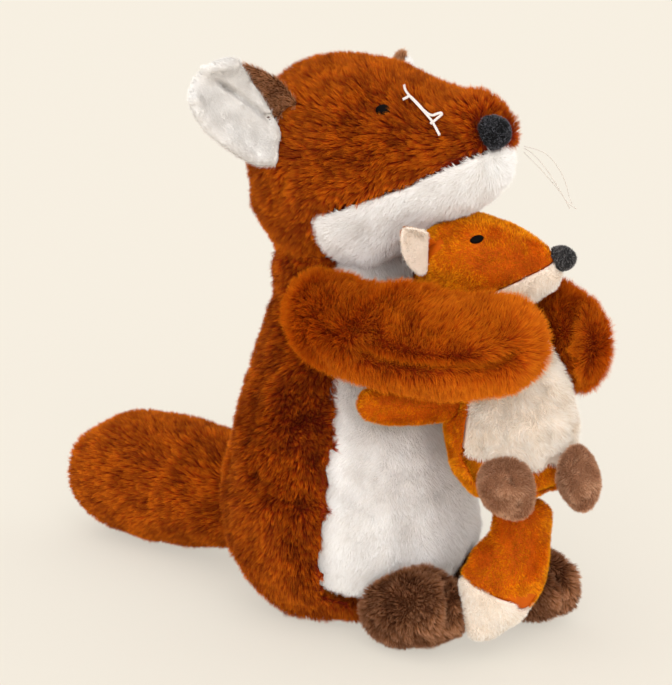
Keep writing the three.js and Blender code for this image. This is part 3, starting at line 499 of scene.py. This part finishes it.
# a lighter copy of the rust pile for both arms, painted light where the arms face up to the light
paintedLitRust = pileMaterial("rust_pile_painted_light", {
    "root": (156, 50, 1), "middle": (208, 86, 1), "tip": (242, 142, 18), "dark": (200, 180, 168),
    "rough": 0.8, "sheen": 0})
whitePile = pileMaterial("white_pile", {
    "root": (240, 236, 232), "middle": (252, 250, 248), "tip": (254, 253, 252), "dark": (250, 248, 246),
    "rough": 0.8, "sheen": 0.05})
brownPile = pileMaterial("brown_pile", {
    "root": (80, 44, 20), "middle": (178, 116, 74), "tip": (230, 176, 136), "dark": (170, 155, 145),
    "rough": 0.8, "sheen": 0})
orangeVelour = pileMaterial("orange_velour", {
    "root": (208, 92, 1), "middle": (250, 144, 1), "tip": (255, 188, 8), "dark": (205, 180, 165),
    "rough": 0.75, "sheen": 0.02})
creamVelour = pileMaterial("cream_velour", {
    "root": (242, 228, 214), "middle": (249, 241, 231), "tip": (252, 247, 240), "dark": (248, 244, 238),
    "rough": 0.8, "sheen": 0.05})
taupeVelour = pileMaterial("taupe_velour", {
    "root": (150, 106, 78), "middle": (210, 158, 122), "tip": (230, 190, 158), "dark": (212, 200, 190),
    "rough": 0.75, "sheen": 0.06})
blackFelt = pileMaterial("black_felt", {
    "root": (14, 14, 17), "middle": (42, 42, 48), "tip": (190, 190, 200), "dark": (90, 90, 90),
    "rough": 0.9, "sheen": 0.05})
greyFelt = pileMaterial("grey_felt", {
    "root": (46, 45, 46), "middle": (104, 101, 102), "tip": (220, 216, 216), "dark": (80, 80, 80),
    "rough": 0.9, "sheen": 0.05})
print("pile materials made")

longPile = {
    "length": 4.6, "width": 0.34, "perSquareMm": 8.5, "leanDeg": 36, "ruffleDeg": 44, "tuft": 2.1,
    "gather": 0.72, "tuftTone": 0.5, "toneSpan": 1, "rollDeg": 110, "patch": 6, "swirl": 9, "swirlDeg": 80,
    "strayDeg": 60, "swell": 0.4, "lump": 0.5, "lumpSize": 11, "voxel": 1.8, "rounds": 20}
whiteFleece = {
    **longPile, "length": 3, "leanDeg": 60, "perSquareMm": 7.5, "width": 0.3, "tuft": 1.8, "gather": 0.15,
    "tuftTone": 0.3, "rollDeg": 60, "lump": 0.15, "ruffleDeg": 24, "voxel": 1.4, "rounds": 10}
footPile = {**longPile, "length": 3.6, "leanDeg": 34, "width": 0.3, "tuft": 1.8, "voxel": 1.4, "rounds": 12}
shortPile = {
    "length": 1.6, "width": 0.24, "perSquareMm": 10, "leanDeg": 36, "ruffleDeg": 40, "tuft": 1.1,
    "gather": 0.5, "tuftTone": 0.6, "toneSpan": 1, "rollDeg": 110, "patch": 4, "swirl": 5, "swirlDeg": 200,
    "strayDeg": 90, "swell": 0, "lump": 0.25, "lumpSize": 7, "voxel": 1.1, "rounds": 12}


# strokes say which way the pile lies, as places and ways
def plushPiece(name, nodes, body, material, slotName, style, strokes, seed, hosts=(), bend=None, **changes):
    pile = {**style, "strokes": strokes, "seed": seed, **changes}
    if pile.get("levels"):
        obj = softened(name, nodes, pile["levels"], pile["rounds"], pile.get("cut"))
    else:
        obj = stuffed(name, nodes, pile["voxel"] * mm, pile["rounds"], pile.get("cut"))
    plush(obj, nodes, pile, hosts)
    obj.data.materials.append(material)
    if bend:
        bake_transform(obj)
    else:
        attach(obj, body)
    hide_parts(*nodes)


# fox body, its white belly, head and throat
plushPiece("fox_body", ["body_cover", "body_filling", "bean_pouch"], "torso", rustPile, "fur", longPile,
           [((-40, 0, 40), (0, 0.35, -1)), ((-30, 0, 120), (0, 0.3, -1)), ((40, 0, 40), (0, 0.35, -1)),
            ((-39, -21, 40), (0.5, -0.9, -0.5)), ((-39, -21, 60), (0.5, -0.9, -0.5)),
            ((-38, -20, 80), (0.5, -0.9, -0.5)), ((39, -21, 40), (-0.5, -0.9, -0.5)),
            ((39, -21, 60), (-0.5, -0.9, -0.5)), ((38, -20, 80), (-0.5, -0.9, -0.5)),
            ((0, 40, 60), (0, 0.1, -1)), ((0, -40, 10), (0, -0.5, -1)), ((0, 28, 142), (0, 0.1, -1))], 1,
           hosts=("belly_panel",), mates=("belly_panel", "head_cover"),
           bend=("head", (0, 0.004, 0.138), (0, 0.004, 0.15)), open=((0, 0, 20), (0, 0, -1)),
           rings=[(0, 4, 128, 151, 8.5, 0.5)], sink=0.8, reach=2.4, swell=-1.8,
           pulls=[((-26, 10, 148), 12, (-0.5, 0, 3.5)), ((-40, -22, 92), 9, (-2.5, -1, 0)),
                  ((-33, -30, 78), 5, (2, 1.5, 0)), ((-38, -2, 5), 15, (4, 1.5, 2)),
                  ((38, -2, 5), 15, (-6, 2, 3)), ((-30, -16, 3), 12, (3, 2, 3)),
                  ((-21, -23, 2), 12, (1, 2, 3)), ((-25, 30, 5), 15, (3, -4, 3)),
                  ((25, 30, 5), 15, (-3, -4, 3))])
plushPiece("fox_belly", ["belly_panel"], "torso", whitePile, "white_fur", whiteFleece,
           [((0, -40, 60), (0, -0.1, -1)), ((0, -30, 120), (0, 0, -1)), ((-36, -26, 60), (-1, 0.4, -0.7)),
            ((30, -30, 60), (0.4, 0.1, -1))], 2, mates=("body_cover",),
           cut=((-35, -30, 19), (0, 0.25, -1)), swell=0, stretches=[((0, 4, 60), (0, 1, 0), 0.96)],
           pulls=[((-37, -24, 26), 11, (3.2, -0.6, 0)), ((-8, -16, 141), 11, (-8, -5, 10)),
                  ((8, -16, 141), 11, (4, -4, 9)), ((0, -42, 30), 12, (0, -1.5, 0)),
                  ((24, -42, 33), 16, (3.6, -2.4, 0))])
faceNodes = ("head_cover", "chin_panel", "nose", "right_eye", "left_eye", "right_whiskers", "left_whiskers")
earNodes = ("right_ear_back", "right_ear_lining", "left_ear_back", "left_ear_lining")
plushPiece("fox_head", ["head_cover", "head_filling"], "head", rustPile, "fur", longPile,
           [((-36, -20, 190), (0, 1, -0.25)), ((0, -65, 205), (0, 1, 0.3)), ((0, -20, 220), (0, 1, -0.1)),
            ((36, -20, 190), (0, 1, -0.25)), ((0, 36, 190), (0, 0.3, -1)), ((-30, 10, 165), (0, 0.5, -0.8)),
            ((-26, -52, 190), (-0.3, 1, -0.5)), ((26, -52, 190), (0.3, 1, -0.5))], 3,
           hosts=("chin_panel", "nose"), mates=(*faceNodes, "body_cover", *earNodes), swell=-0.8,
           rings=[(0, 4, 175, 150, 8.5, 0.3)],
           pulls=[((-2, -66, 209), 13, (0, -1, 4.1)), ((-5, -46, 216), 11, (0, 0, -2.5)),
                  ((0, -70, 208), 7, (0, -3, 2)), ((6, -66, 203), 10, (2, -1, 1)),
                  ((11, -68, 199), 6, (3, -2, 0)), ((-20.6, -31.2, 206.4), 4, (1.3, 0.7, -1)),
                  ((20.6, -31.2, 206.4), 4, (-1.3, 0.7, -1))],
           creases=[{"line": [(-38.9, -3.9, 183.3), (-36.2, 2.4, 171.8), (-30.7, 7.8, 162.6)],
                     "width": 2.2, "depth": 2.2}],
           trims=[((-20.6, -31.6, 206.2), 3.8, 0.1), ((20.6, -31.6, 206.2), 3.8, 0.1)])
plushPiece("fox_chin", ["chin_panel"], "head", whitePile, "white_fur", whiteFleece,
           [((-25, -30, 175), (0, 1, -0.4)), ((0, -50, 160), (0, 1, -0.2)),
            ((25, -30, 175), (0, 1, -0.4))], 4, hosts=("head_cover",), mates=faceNodes,
           pulls=[((-16, -25, 151), 13, (-3, 1, -12)), ((10, -27, 151), 12, (0, 0, -8)),
                  ((-26, -16, 158), 9, (-3.5, 1, -4)), ((-31, -10, 163.4), 5, (-1, 1, 1.5))])
print("fox body and head made")

# fox ears, white to the rim in front and brown behind, the near one cut and folded as it sits
earPile = {
    **whiteFleece, "length": 2.4, "perSquareMm": 12, "leanDeg": 66, "ruffleDeg": 22, "strayDeg": 40,
    "swirlDeg": 40, "gather": 0, "tuftTone": 0, "rollDeg": 20, "swell": 1.5, "lump": 0, "voxel": 0.8,
    "rounds": 75, "fill": 0.3}
backPile = {
    **footPile, "length": 3, "leanDeg": 58, "tuftTone": 0.2, "swirlDeg": 40, "strayDeg": 40, "gather": 0.4,
    "lift": 0.15, "swell": 0, "lump": 0.1, "voxel": 0.9, "rounds": 6, "fill": 0.3}
nearMiddle = (-48, 3.9, 203.6)
nearAlong = (-0.803, 0.378, 0.46)
nearAcross = (-0.398, 0.234, -0.887)
nearCut = ((-55.3, 5.9, 221.4), (0.7, -0.36, 0.56))
nearFold = {
    "line": [(-63.5, 9.5, 216.5), (-56, 8.6, 212), (-51.5, 7.3, 208.6), (-46, 5, 203.6), (-42, 3, 201)],
    "width": 1.1, "depth": 3.6, "way": (0.447, 0.894, 0.03)}
earShapes = {
    "right": {
        "stroke": (nearMiddle, nearAlong),
        "outer": {"stretches": [(nearMiddle, nearAlong, 0.86), (nearMiddle, nearAcross, 0.92)],
                  "shift": (-1.2, 1.4, 0.8), "creases": [nearFold], "open": nearCut,
                  "pulls": [((-35.7, -3.6, 211.6), 7, (3.7, 3.1, -2.5))]},
        "inner": {"stretches": [(nearMiddle, nearAlong, 1.22), (nearMiddle, nearAcross, 1.16)],
                  "shift": (-0.7, 0.8, 1.2), "creases": [nearFold], "cut": nearCut,
                  "pulls": [((-43.3, -2.6, 188.4), 14, (-2.4, 2.9, -1))]}},
    "left": {"stroke": ((47.6, 12.4, 195.2), (0.742, 0.57, 0.352)), "outer": {}, "inner": {}}}
for sideName, form in earShapes.items():
    ear = sideName + "_ear"
    pair = [ear + "_lining", ear + "_back"]
    plushPiece(ear + "_outer", pair[1:], ear, brownPile, "brown_fur", backPile, [form["stroke"]], 5,
               hosts=(*pair, "head_cover"), mates=pair, **form["outer"])
    plushPiece(ear + "_inner", pair[:1], ear, whitePile, "white_fur", earPile, [form["stroke"]], 6,
               hosts=(*pair, "head_cover"), mates=pair, **form["inner"])

# fox arms, whose fur parts along a middle crease, and whose strands are lifted lighter as painted light
armPile = {
    **longPile, "length": 5.4, "leanDeg": 46, "swirlDeg": 60, "strayDeg": 60, "gather": 0.5, "tuft": 2.4,
    "lift": 0.2, "toneSpan": 0.5, "lump": 0.3, "swell": -1.6}
armParting = [(-54.6, -56, 122), (-53.6, -61.5, 121.4), (-52.7, -67, 120.7), (-51.4, -73, 121),
              (-50.1, -79, 121.4), (-48.9, -84.5, 121.7), (-45.5, -89.5, 121.8), (-42, -94.5, 122),
              (-38, -99.5, 124)]
plushPiece("right_arm", ["right_arm_cover", "right_arm_filling"], "right_arm", paintedLitRust, "fur", armPile,
           [((-55, -66, 126), (0, -0.3, 1)), ((-49, -86, 127), (0.1, -0.2, 1)),
            ((-51, -66, 115), (0, -0.3, -1)), ((-46, -86, 116), (0, -0.2, -1)),
            ((-50, -35, 142), (0, -0.5, 1)), ((-52, -40, 110), (0, -0.4, -1)),
            ((-44, -84, 142), (0.3, -0.5, 1)), ((-42, -84, 108), (0.3, -0.4, -1)),
            ((-56, -52, 127), (0, -1, 0.1)), ((-25, -105, 140), (0.7, 0, 1)),
            ((-25, -105, 112), (0.7, 0, -1)), ((-14, -98, 125), (1, 0.2, 0)),
            ((-30, -10, 125), (-0.6, -1, 0))], 7,
           creases=[{"line": [(-55.7, -47.5, 123.3), (-52.7, -67, 120.7), (-48.9, -84.5, 121.7),
                              (-40.1, -96.6, 122), (-33.3, -106.1, 128.1)], "width": 2.2, "depth": 7.5}],
           trims=[(place, 2.5, 0.05) for place in armParting],
           pulls=[((-50, -40, 149), 16, (0, 0, -7.5)), ((-45, -80, 149), 14, (0, 0, -5))])
plushPiece("left_arm", ["left_arm_cover", "left_arm_filling"], "left_arm", paintedLitRust, "fur", armPile,
           [((45, -30, 132), (0, -0.5, 1)), ((46, -35, 102), (0, -0.4, -1)),
            ((38, -80, 132), (-0.3, -0.5, 1)), ((38, -80, 102), (-0.3, -0.4, -1)),
            ((20, -96, 118), (-1, -0.3, 0)), ((34, -10, 118), (0.6, -1, 0)),
            ((26, -98, 128), (-0.4, -0.4, 1)), ((26, -98, 106), (-0.4, -0.4, -1))], 8)

# fox feet with a pressed toe crease, and its tail
toeCrease = [(-24, -66.5, 27), (-27.5, -70.5, 23), (-29, -71.8, 18), (-29, -71.5, 12)]
plushPiece("right_foot", ["right_foot_cover", "right_foot_filling"], "right_foot", brownPile, "brown_fur",
           footPile, [((-22, -50, 16), (-0.1, -1, 0)), ((-25, -74, 16), (0, -0.6, -0.8)),
                      ((-20, -45, 30), (-0.3, -1, 0))], 9,
           pulls=[((-20, -72, 18), 6, (-1, 0.3, 0)), ((-31, -66, 2), 15, (1, 3, 4.5)),
                  ((-16, -60, 2), 12, (0, 2, 3))],
           creases=[{"line": [(-18.6, -61.2, 29.2), (-27, -70.1, 24.5), (-29.2, -71.9, 16.5),
                              (-28.6, -71.1, 6)], "width": 2, "depth": 8}],
           trims=[(place, 2.6, 0.04) for place in toeCrease])
plushPiece("left_foot", ["left_foot_cover", "left_foot_filling"], "left_foot", brownPile, "brown_fur",
           footPile, [((30, -60, 16), (0.2, -1, 0)), ((38, -84, 16), (0, -0.6, -0.8))], 10, swell=-1.4,
           creases=[{"line": [(27.9, -74.5, 27.6), (28, -81.9, 20.6), (29, -84.3, 15.7), (31, -80, 5)],
                     "width": 1.9, "depth": 5.5},
                    {"line": [(42, -74, 26), (43, -78, 18), (42, -78, 8)], "width": 1.8, "depth": 4}])
plushPiece("fox_tail", ["tail_cover", "tail_filling"], "tail", rustPile, "fur", longPile,
           [((9, 60, 30), (0, 1, 0)), ((14, 150, 30), (0, 1, -0.2))], 11, swell=-1.1,
           pulls=[((8, 148, 50), 14, (0, -2, -2))])
print("fox ears, limbs and tail made")

# kit pieces, in short velour
bellyEnd = ((-2, -98, 77), (0, 0.2, -1))
plushPiece("kit_body", ["kit_body_cover", "kit_body_filling"], "torso", orangeVelour, "velour", shortPile,
           [((0, -75, 100), (0, 0, -1))], 12, hosts=("kit_belly_panel",), mates=("kit_belly_panel",),
           open=bellyEnd, pulls=[((-2, -95, 70), 9, (0, -2, -0.5))])
plushPiece("kit_belly", ["kit_belly_panel"], "torso", creamVelour, "cream_velour", shortPile,
           [((-20, -90, 100), (-0.5, 0, -1)), ((10, -95, 100), (0.5, 0, -1)),
            ((-5, -95, 85), (0, 0, -1))], 13, hosts=("kit_body_cover",), mates=("kit_body_cover",),
           cut=bellyEnd, voxel=1, rounds=5, length=2.8, leanDeg=50, tuft=1.6, gather=0.5, perSquareMm=8)
plushPiece("kit_head", ["kit_head_cover", "kit_head_filling"], "kit_head", orangeVelour, "velour", shortPile,
           [((3, -60, 150), (-0.3, 1, 0))], 14,
           hosts=("kit_chin_panel", "kit_nose", "kit_right_eye", "kit_left_eye"),
           trims=[((-7.6, -66.8, 159.6), 2.8, 0.15), ((18.3, -52.3, 159.2), 2.8, 0.15)])
plushPiece("kit_chin", ["kit_chin_panel"], "kit_head", creamVelour, "cream_velour", shortPile,
           [((3, -70, 140), (-0.3, 1, 0))], 15, hosts=("kit_head_cover",), voxel=1, rounds=5)

# kit ears and arms, with the lining of the near ear cut off beside the head and gently creased
kitEarPile = {**shortPile, "levels": 2, "rounds": 1, "length": 1.1, "fill": 0.3, "lump": 0.1}
kitSides = {
    "right": {
        "middle": (-20.6, -50.8, 155.8), "along": (-0.573, 0.154, 0.805), "across": (-0.606, 0.582, -0.543),
        "armStroke": ((-30, -60, 95), (-1, 0.3, 0)),
        "inner": {"pulls": [((-23.6, -49.5, 160.7), 4, (-0.4, 0.5, 1))],
                  "cut": ((-19.2, -52.6, 157.7), (0.643, -0.766, 0)),
                  "creases": [{"line": [(-22, -51.4, 160), (-20.5, -52, 151)], "width": 1.3, "depth": 1.1}]}},
    "left": {
        "middle": (9.3, -35.6, 154), "along": (0.228, -0.712, 0.664), "across": (-0.142, -0.7, -0.7),
        "armStroke": ((30, -60, 95), (1, 0.3, 0)), "inner": {}}}
for sideName, form in kitSides.items():
    ear = "kit_" + sideName + "_ear"
    middle, along, across = form["middle"], form["along"], form["across"]
    plushPiece(ear + "_outer", [ear + "_back"], ear, orangeVelour, "velour", kitEarPile,
               [(middle, along)], 16, hosts=(ear + "_lining", "kit_head_cover"), shift=(0.7, 0.6, -0.3),
               stretches=[(middle, along, 0.84), (middle, across, 0.74)])
    plushPiece(ear + "_inner", [ear + "_lining"], ear, creamVelour, "cream_velour", kitEarPile,
               [(middle, along)], 17, hosts=(ear + "_back", "kit_head_cover"),
               mates=(ear + "_back", "kit_head_cover"),
               stretches=[(middle, along, 1.12), (middle, across, 1.1)], rounds=6, swell=0.3, **form["inner"])
    arm = "kit_" + sideName + "_arm"
    plushPiece(arm, [arm + "_cover", arm + "_filling"], arm, orangeVelour, "velour", shortPile,
               [form["armStroke"]], 18)

# kit feet, each with a pressed crease
footShapes = {
    "right": {"stretches": [((-25, -95, 63.5), (0, 0, 1), 0.82)],
              "pulls": [((-34, -94, 74), 5, (-0.6, 0.8, 2)), ((-27.2, -101.1, 65), 6, (1.6, -1.6, -1))],
              "creases": [{"line": [(-30, -98.5, 82), (-30, -101.5, 77), (-28.5, -103.5, 70)],
                           "width": 1.1, "depth": 3}]},
    "left": {"stretches": [((-3.5, -104.2, 76.6), (0.643, -0.766, 0), 0.7),
                           ((-3.5, -104.2, 64), (0, 0, 1), 0.94)],
             "pulls": [((-10, -106, 66), 6, (1.5, -1.5, 0))], "shift": (2.6, -3.1, 0),
             "creases": [{"line": [(-6, -112, 84), (-7, -113.5, 77), (-7, -113, 70)],
                          "width": 1.1, "depth": 3}]}}
for sideName, form in footShapes.items():
    foot = "kit_" + sideName + "_foot"
    plushPiece(foot, [foot + "_cover", foot + "_filling"], foot, taupeVelour, "taupe_velour", shortPile,
               [((0, -100, 75), (-0.5, -0.7, -0.3))], 19, length=1.8, **form)

# kit tail, whose cream end meets it at a tilted seam
seamTilt = [((-17.5, -74, 26.8), 9, (-2.4, 2.6, 6.5)), ((-3, -93, 26.8), 9, (-2.2, 2.4, -7))]
plushPiece("kit_tail", ["kit_tail_cover", "kit_tail_filling"], "kit_tail", orangeVelour, "velour", shortPile,
           [((0, -80, 40), (-0.2, -0.2, -1))], 20, hosts=("kit_tail_tip",), mates=("kit_tail_tip",),
           pulls=[*seamTilt, ((-13, -75, 42), 9, (-4.4, 4, -0.5))])
plushPiece("kit_tail_end", ["kit_tail_tip"], "kit_tail", creamVelour, "cream_velour", shortPile,
           [((0, -80, 20), (-0.2, -0.2, -1))], 21, hosts=("kit_tail_cover",), mates=("kit_tail_cover",),
           pulls=[*seamTilt, ((-16, -80, 11), 9, (-3.4, 2.6, -2))])
print("kit pieces made")

# felted noses
feltPile = {
    **shortPile, "levels": 2, "rounds": 1, "perSquareMm": 16, "width": 0.15, "leanDeg": 55, "strayDeg": 340,
    "swirlDeg": 300, "tuft": 0.8, "tuftTone": 1, "lump": 0.15, "lumpSize": 2.5, "fill": 0.9}
headHosts = tuple(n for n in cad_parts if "head" in n or "chin" in n)
plushPiece("fox_nose", ["nose"], "head", blackFelt, "felt", feltPile, [((0, -70, 190), (0, 1, -0.4))], 22,
           hosts=headHosts, length=1, pulls=[((0, -71.3, 198.3), 60, (-3.8, -0.2, 0.9))],
           stretches=[((0, -70, 198.3), way, 1.08) for way in ((1, 0, 0), (0, 1, 0), (0, 0, 1))])
plushPiece("kit_muzzle", ["kit_nose"], "kit_head", greyFelt, "felt", feltPile,
           [((20, -80, 150), (0, 1, -0.4))], 23,
           hosts=headHosts, length=0.9)


threadShade = {
    "grain": 2500, "darkShare": 0.86, "darkAt": 0.3, "lightAt": 0.7, "smoothest": 0.45, "roughest": 0.65,
    "bumpDepth": 0.0001, "twist": 2.4, "guide": (0.31, 0.2, 0.93)}


def threadMaterial(name, colour, bump, specular=0.2):
    material, nodes, links, shader = newMaterial(name)
    place = nodes.new("ShaderNodeTexCoord")
    grain = nodes.new("ShaderNodeTexNoise")
    grain.inputs["Scale"].default_value = threadShade["grain"]
    grain.inputs["Detail"].default_value = 2
    links.new(place.outputs["Object"], grain.inputs[0])
    dark = tuple(c * threadShade["darkShare"] for c in colour)
    tones = [(threadShade["darkAt"], dark), (threadShade["lightAt"], colour)]
    links.new(addRamp(nodes, links, grain.outputs[0], tones), shader.inputs["Base Color"])
    addRoughness(nodes, links, grain.outputs[0], shader, threadShade["smoothest"], threadShade["roughest"])
    shader.inputs["Specular IOR Level"].default_value = specular
    addBump(nodes, links, grain.outputs[0], shader, bump, threadShade["bumpDepth"])
    return material


blackThread = threadMaterial("black_thread", (15, 11, 11), 0.5, 0.03)
whiteThread = threadMaterial("white_thread", (250, 240, 234), 0.4)
nylonThread = threadMaterial("nylon_thread", (236, 228, 218), 0.1)


# a smooth line that cuts the corners of a rough one three times
def roundedLine(line):
    route = np.array(line, float)
    for _ in range(3):
        inner = np.empty((len(route) * 2 - 2, 3))
        inner[0::2] = route[:-1] * 0.75 + route[1:] * 0.25
        inner[1::2] = route[:-1] * 0.25 + route[1:] * 0.75
        route = np.concatenate([route[:1], inner, route[-1:]])
    return route


def finishedPiece(name, mesh, material, body, node):
    mesh.materials.clear()
    mesh.materials.append(material)
    piece = bpy.data.objects.new(name, mesh)
    scene.collection.objects.link(piece)
    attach(piece, body)
    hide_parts(node)


# threads, each a bundle of plies wound round a smooth line
def threads(name, node, body, material, lines, plies, plyRadius, windRadius):
    data = bpy.data.curves.new(name, "CURVE")
    data.dimensions = "3D"
    data.bevel_depth = plyRadius * mm
    data.bevel_resolution = 1
    data.use_fill_caps = True
    for line in lines:
        route = roundedLine(line)
        way = unit(np.gradient(route, axis=0))
        side = unit(np.cross(way, threadShade["guide"]))
        over = np.cross(way, side)
        run = np.concatenate([[0], np.cumsum(np.linalg.norm(np.diff(route, axis=0), axis=1))])
        for ply in range(plies):
            turn = (run * threadShade["twist"] + ply * 2 * math.pi / plies)[:, None]
            track = route + windRadius * (side * np.cos(turn) + over * np.sin(turn))
            spline = data.splines.new("POLY")
            spline.points.add(len(track) - 1)
            spline.points.foreach_set("co", np.concatenate([track * mm, np.ones((len(track), 1))], 1).ravel())
    wound = bpy.data.objects.new(name, data)
    scene.collection.objects.link(wound)
    bpy.context.view_layer.update()
    mesh = bpy.data.meshes.new_from_object(wound.evaluated_get(bpy.context.evaluated_depsgraph_get()))
    bpy.data.objects.remove(wound)
    finishedPiece(name, mesh, material, body, node)


# the fox's near whisker thread is knotted up in a bundle, and its far one hangs as fine nylon
knotLines = [
    [(-9.7, -33.8, 213.8), (-12.5, -36.5, 212.6), (-14.6, -40.2, 211.1), (-16.2, -46, 208),
     (-17.4, -52.4, 204.2), (-18.4, -55.5, 201.5), (-18.6, -57.5, 198.9)],
    [(-16.8, -38.9, 209.9), (-15.6, -39.8, 210.6), (-14.6, -40.2, 211.3), (-15.4, -44, 209.4),
     (-17.2, -52, 204.9), (-15.4, -54.6, 206.4), (-14.2, -55.7, 206.2), (-16.6, -54.2, 204),
     (-18.2, -53, 202.6)]]
threads("knotted_thread", "right_whiskers", "head", whiteThread, knotLines, 3, 0.26, 0.3)
nylonLines = [
    [(23.3, -65.1, 190.1), (27.9, -70.6, 188.2), (30.4, -73.5, 184.8), (32.6, -76.2, 179.8),
     (33.9, -77.7, 174.5), (34.4, -78.3, 170.7), (35.2, -79.2, 168)],
    [(23.3, -65.1, 189.3), (25.5, -67.7, 187.4), (28.5, -71.3, 182.1), (30.9, -74.2, 176.4),
     (32.4, -76, 172.6), (34, -77.8, 168.4), (36.4, -80.7, 166.1)],
    [(23.3, -65.1, 187.8), (24.8, -66.9, 185.5), (27.3, -69.8, 181.7), (30.2, -73.4, 176.4),
     (32.7, -76.3, 171.8), (33.7, -77.5, 169.1), (34.7, -78.7, 166.1)]]
threads("nylon_whiskers", "left_whiskers", "head", nylonThread, nylonLines, 1, 0.19, 0)


# stitched eyes, low ovals with a lens of thread
def stitchedEye(name, node, body, place, size, tiltDeg, out):
    bm = bmesh.new()
    bmesh.ops.create_uvsphere(bm, u_segments=24, v_segments=14, radius=1)
    bmesh.ops.scale(bm, verts=bm.verts, vec=tuple(side * mm for side in size))
    face = Vector(out).to_track_quat("Z", "Y").to_matrix().to_4x4()
    turn = face @ Matrix.Rotation(math.radians(tiltDeg), 4, "Z")
    bmesh.ops.transform(bm, verts=bm.verts, matrix=Matrix.Translation(Vector(place) * mm) @ turn)
    mesh = bpy.data.meshes.new(name)
    bm.to_mesh(mesh)
    bm.free()
    mesh.shade_smooth()
    finishedPiece(name, mesh, blackThread, body, node)


foxEye = (2.8, 2.2, 1.7)
stitchedEye("fox_eye_near", "right_eye", "head", (-20.7, -32.6, 205.8), foxEye, 0, (-0.75, -0.35, 0.55))
stitchedEye("fox_eye_far", "left_eye", "head", (20.7, -32.6, 205.8), foxEye, 0, (0.75, -0.35, 0.55))
stitchedEye("kit_eye_near", "kit_right_eye", "kit_head", (-7.6, -66.8, 159.6), (2.7, 1.6, 1), 20,
            (-0.55, -0.52, 0.65))
stitchedEye("kit_eye_far", "kit_left_eye", "kit_head", (18.3, -52.3, 159.2), (2.4, 1.3, 1), -20,
            (0.71, 0.27, 0.65))
print("noses, threads and eyes made")

# plain pale floor, world and lamps
stageSetup = {
    "floor": (241, 234, 221), "floorHalf": 6, "floorDrop": -0.0003, "evenShare": 0.6,
    "worldTint": (1, 0.985, 0.96, 1), "worldStrength": 0.9,
    "suns": {"key_sun": (0.3, 45, (-0.6, -0.5, 1.2)), "fill_sun": (1.5, 50, (-0.75, -0.7, 0.4))}}
pale = linear(stageSetup["floor"])
bm = bmesh.new()
bmesh.ops.create_grid(bm, x_segments=1, y_segments=1, size=stageSetup["floorHalf"])
bmesh.ops.translate(bm, verts=bm.verts, vec=(0, 0, stageSetup["floorDrop"]))
floorMesh = bpy.data.meshes.new("floor")
bm.to_mesh(floorMesh)
bm.free()
floor = bpy.data.objects.new("floor", floorMesh)
scene.collection.objects.link(floor)

# the floor keeps its shadow, under an even glow that only the camera sees
floorMaterial, nodes, links, floorShader = newMaterial("floor_paper")
floorShader.inputs["Base Color"].default_value = pale
floorShader.inputs["Roughness"].default_value = 1
floorShader.inputs["Specular IOR Level"].default_value = 0
glow = nodes.new("ShaderNodeEmission")
glow.inputs[0].default_value = pale
path = nodes.new("ShaderNodeLightPath")
even = nodes.new("ShaderNodeMath")
even.operation = "MULTIPLY"
even.inputs[1].default_value = stageSetup["evenShare"]
links.new(path.outputs["Is Camera Ray"], even.inputs[0])
choose = nodes.new("ShaderNodeMixShader")
links.new(even.outputs[0], choose.inputs[0])
links.new(floorShader.outputs[0], choose.inputs[1])
links.new(glow.outputs[0], choose.inputs[2])
links.new(choose.outputs[0], nodes["Material Output"].inputs[0])
floorMesh.materials.append(floorMaterial)

# the pale backdrop is what is seen, and a white sky is what lights
world = bpy.data.worlds.new("studio")
scene.world = world
world.use_nodes = True
nodes, links = world.node_tree.nodes, world.node_tree.links
sky = nodes["Background"]
sky.inputs[0].default_value = stageSetup["worldTint"]
sky.inputs[1].default_value = stageSetup["worldStrength"]
seen = nodes.new("ShaderNodeBackground")
seen.inputs[0].default_value = pale
seen.inputs[1].default_value = 1
path = nodes.new("ShaderNodeLightPath")
seeing = path.outputs["Is Camera Ray"]
for kind in ("Is Glossy Ray", "Is Transmission Ray"):
    most = nodes.new("ShaderNodeMath")
    most.operation = "MAXIMUM"
    links.new(seeing, most.inputs[0])
    links.new(path.outputs[kind], most.inputs[1])
    seeing = most.outputs[0]
choose = nodes.new("ShaderNodeMixShader")
links.new(seeing, choose.inputs[0])
links.new(sky.outputs[0], choose.inputs[1])
links.new(seen.outputs[0], choose.inputs[2])
links.new(choose.outputs[0], nodes["World Output"].inputs[0])

for sunName, (strength, angleDeg, place) in stageSetup["suns"].items():
    sunData = bpy.data.lights.new(sunName, "SUN")
    sunData.energy = strength
    sunData.angle = math.radians(angleDeg)
    sun = bpy.data.objects.new(sunName, sunData)
    scene.collection.objects.link(sun)
    sun.rotation_euler = Vector(place).to_track_quat("Z", "Y").to_euler()

scene.view_settings.view_transform = "Standard"
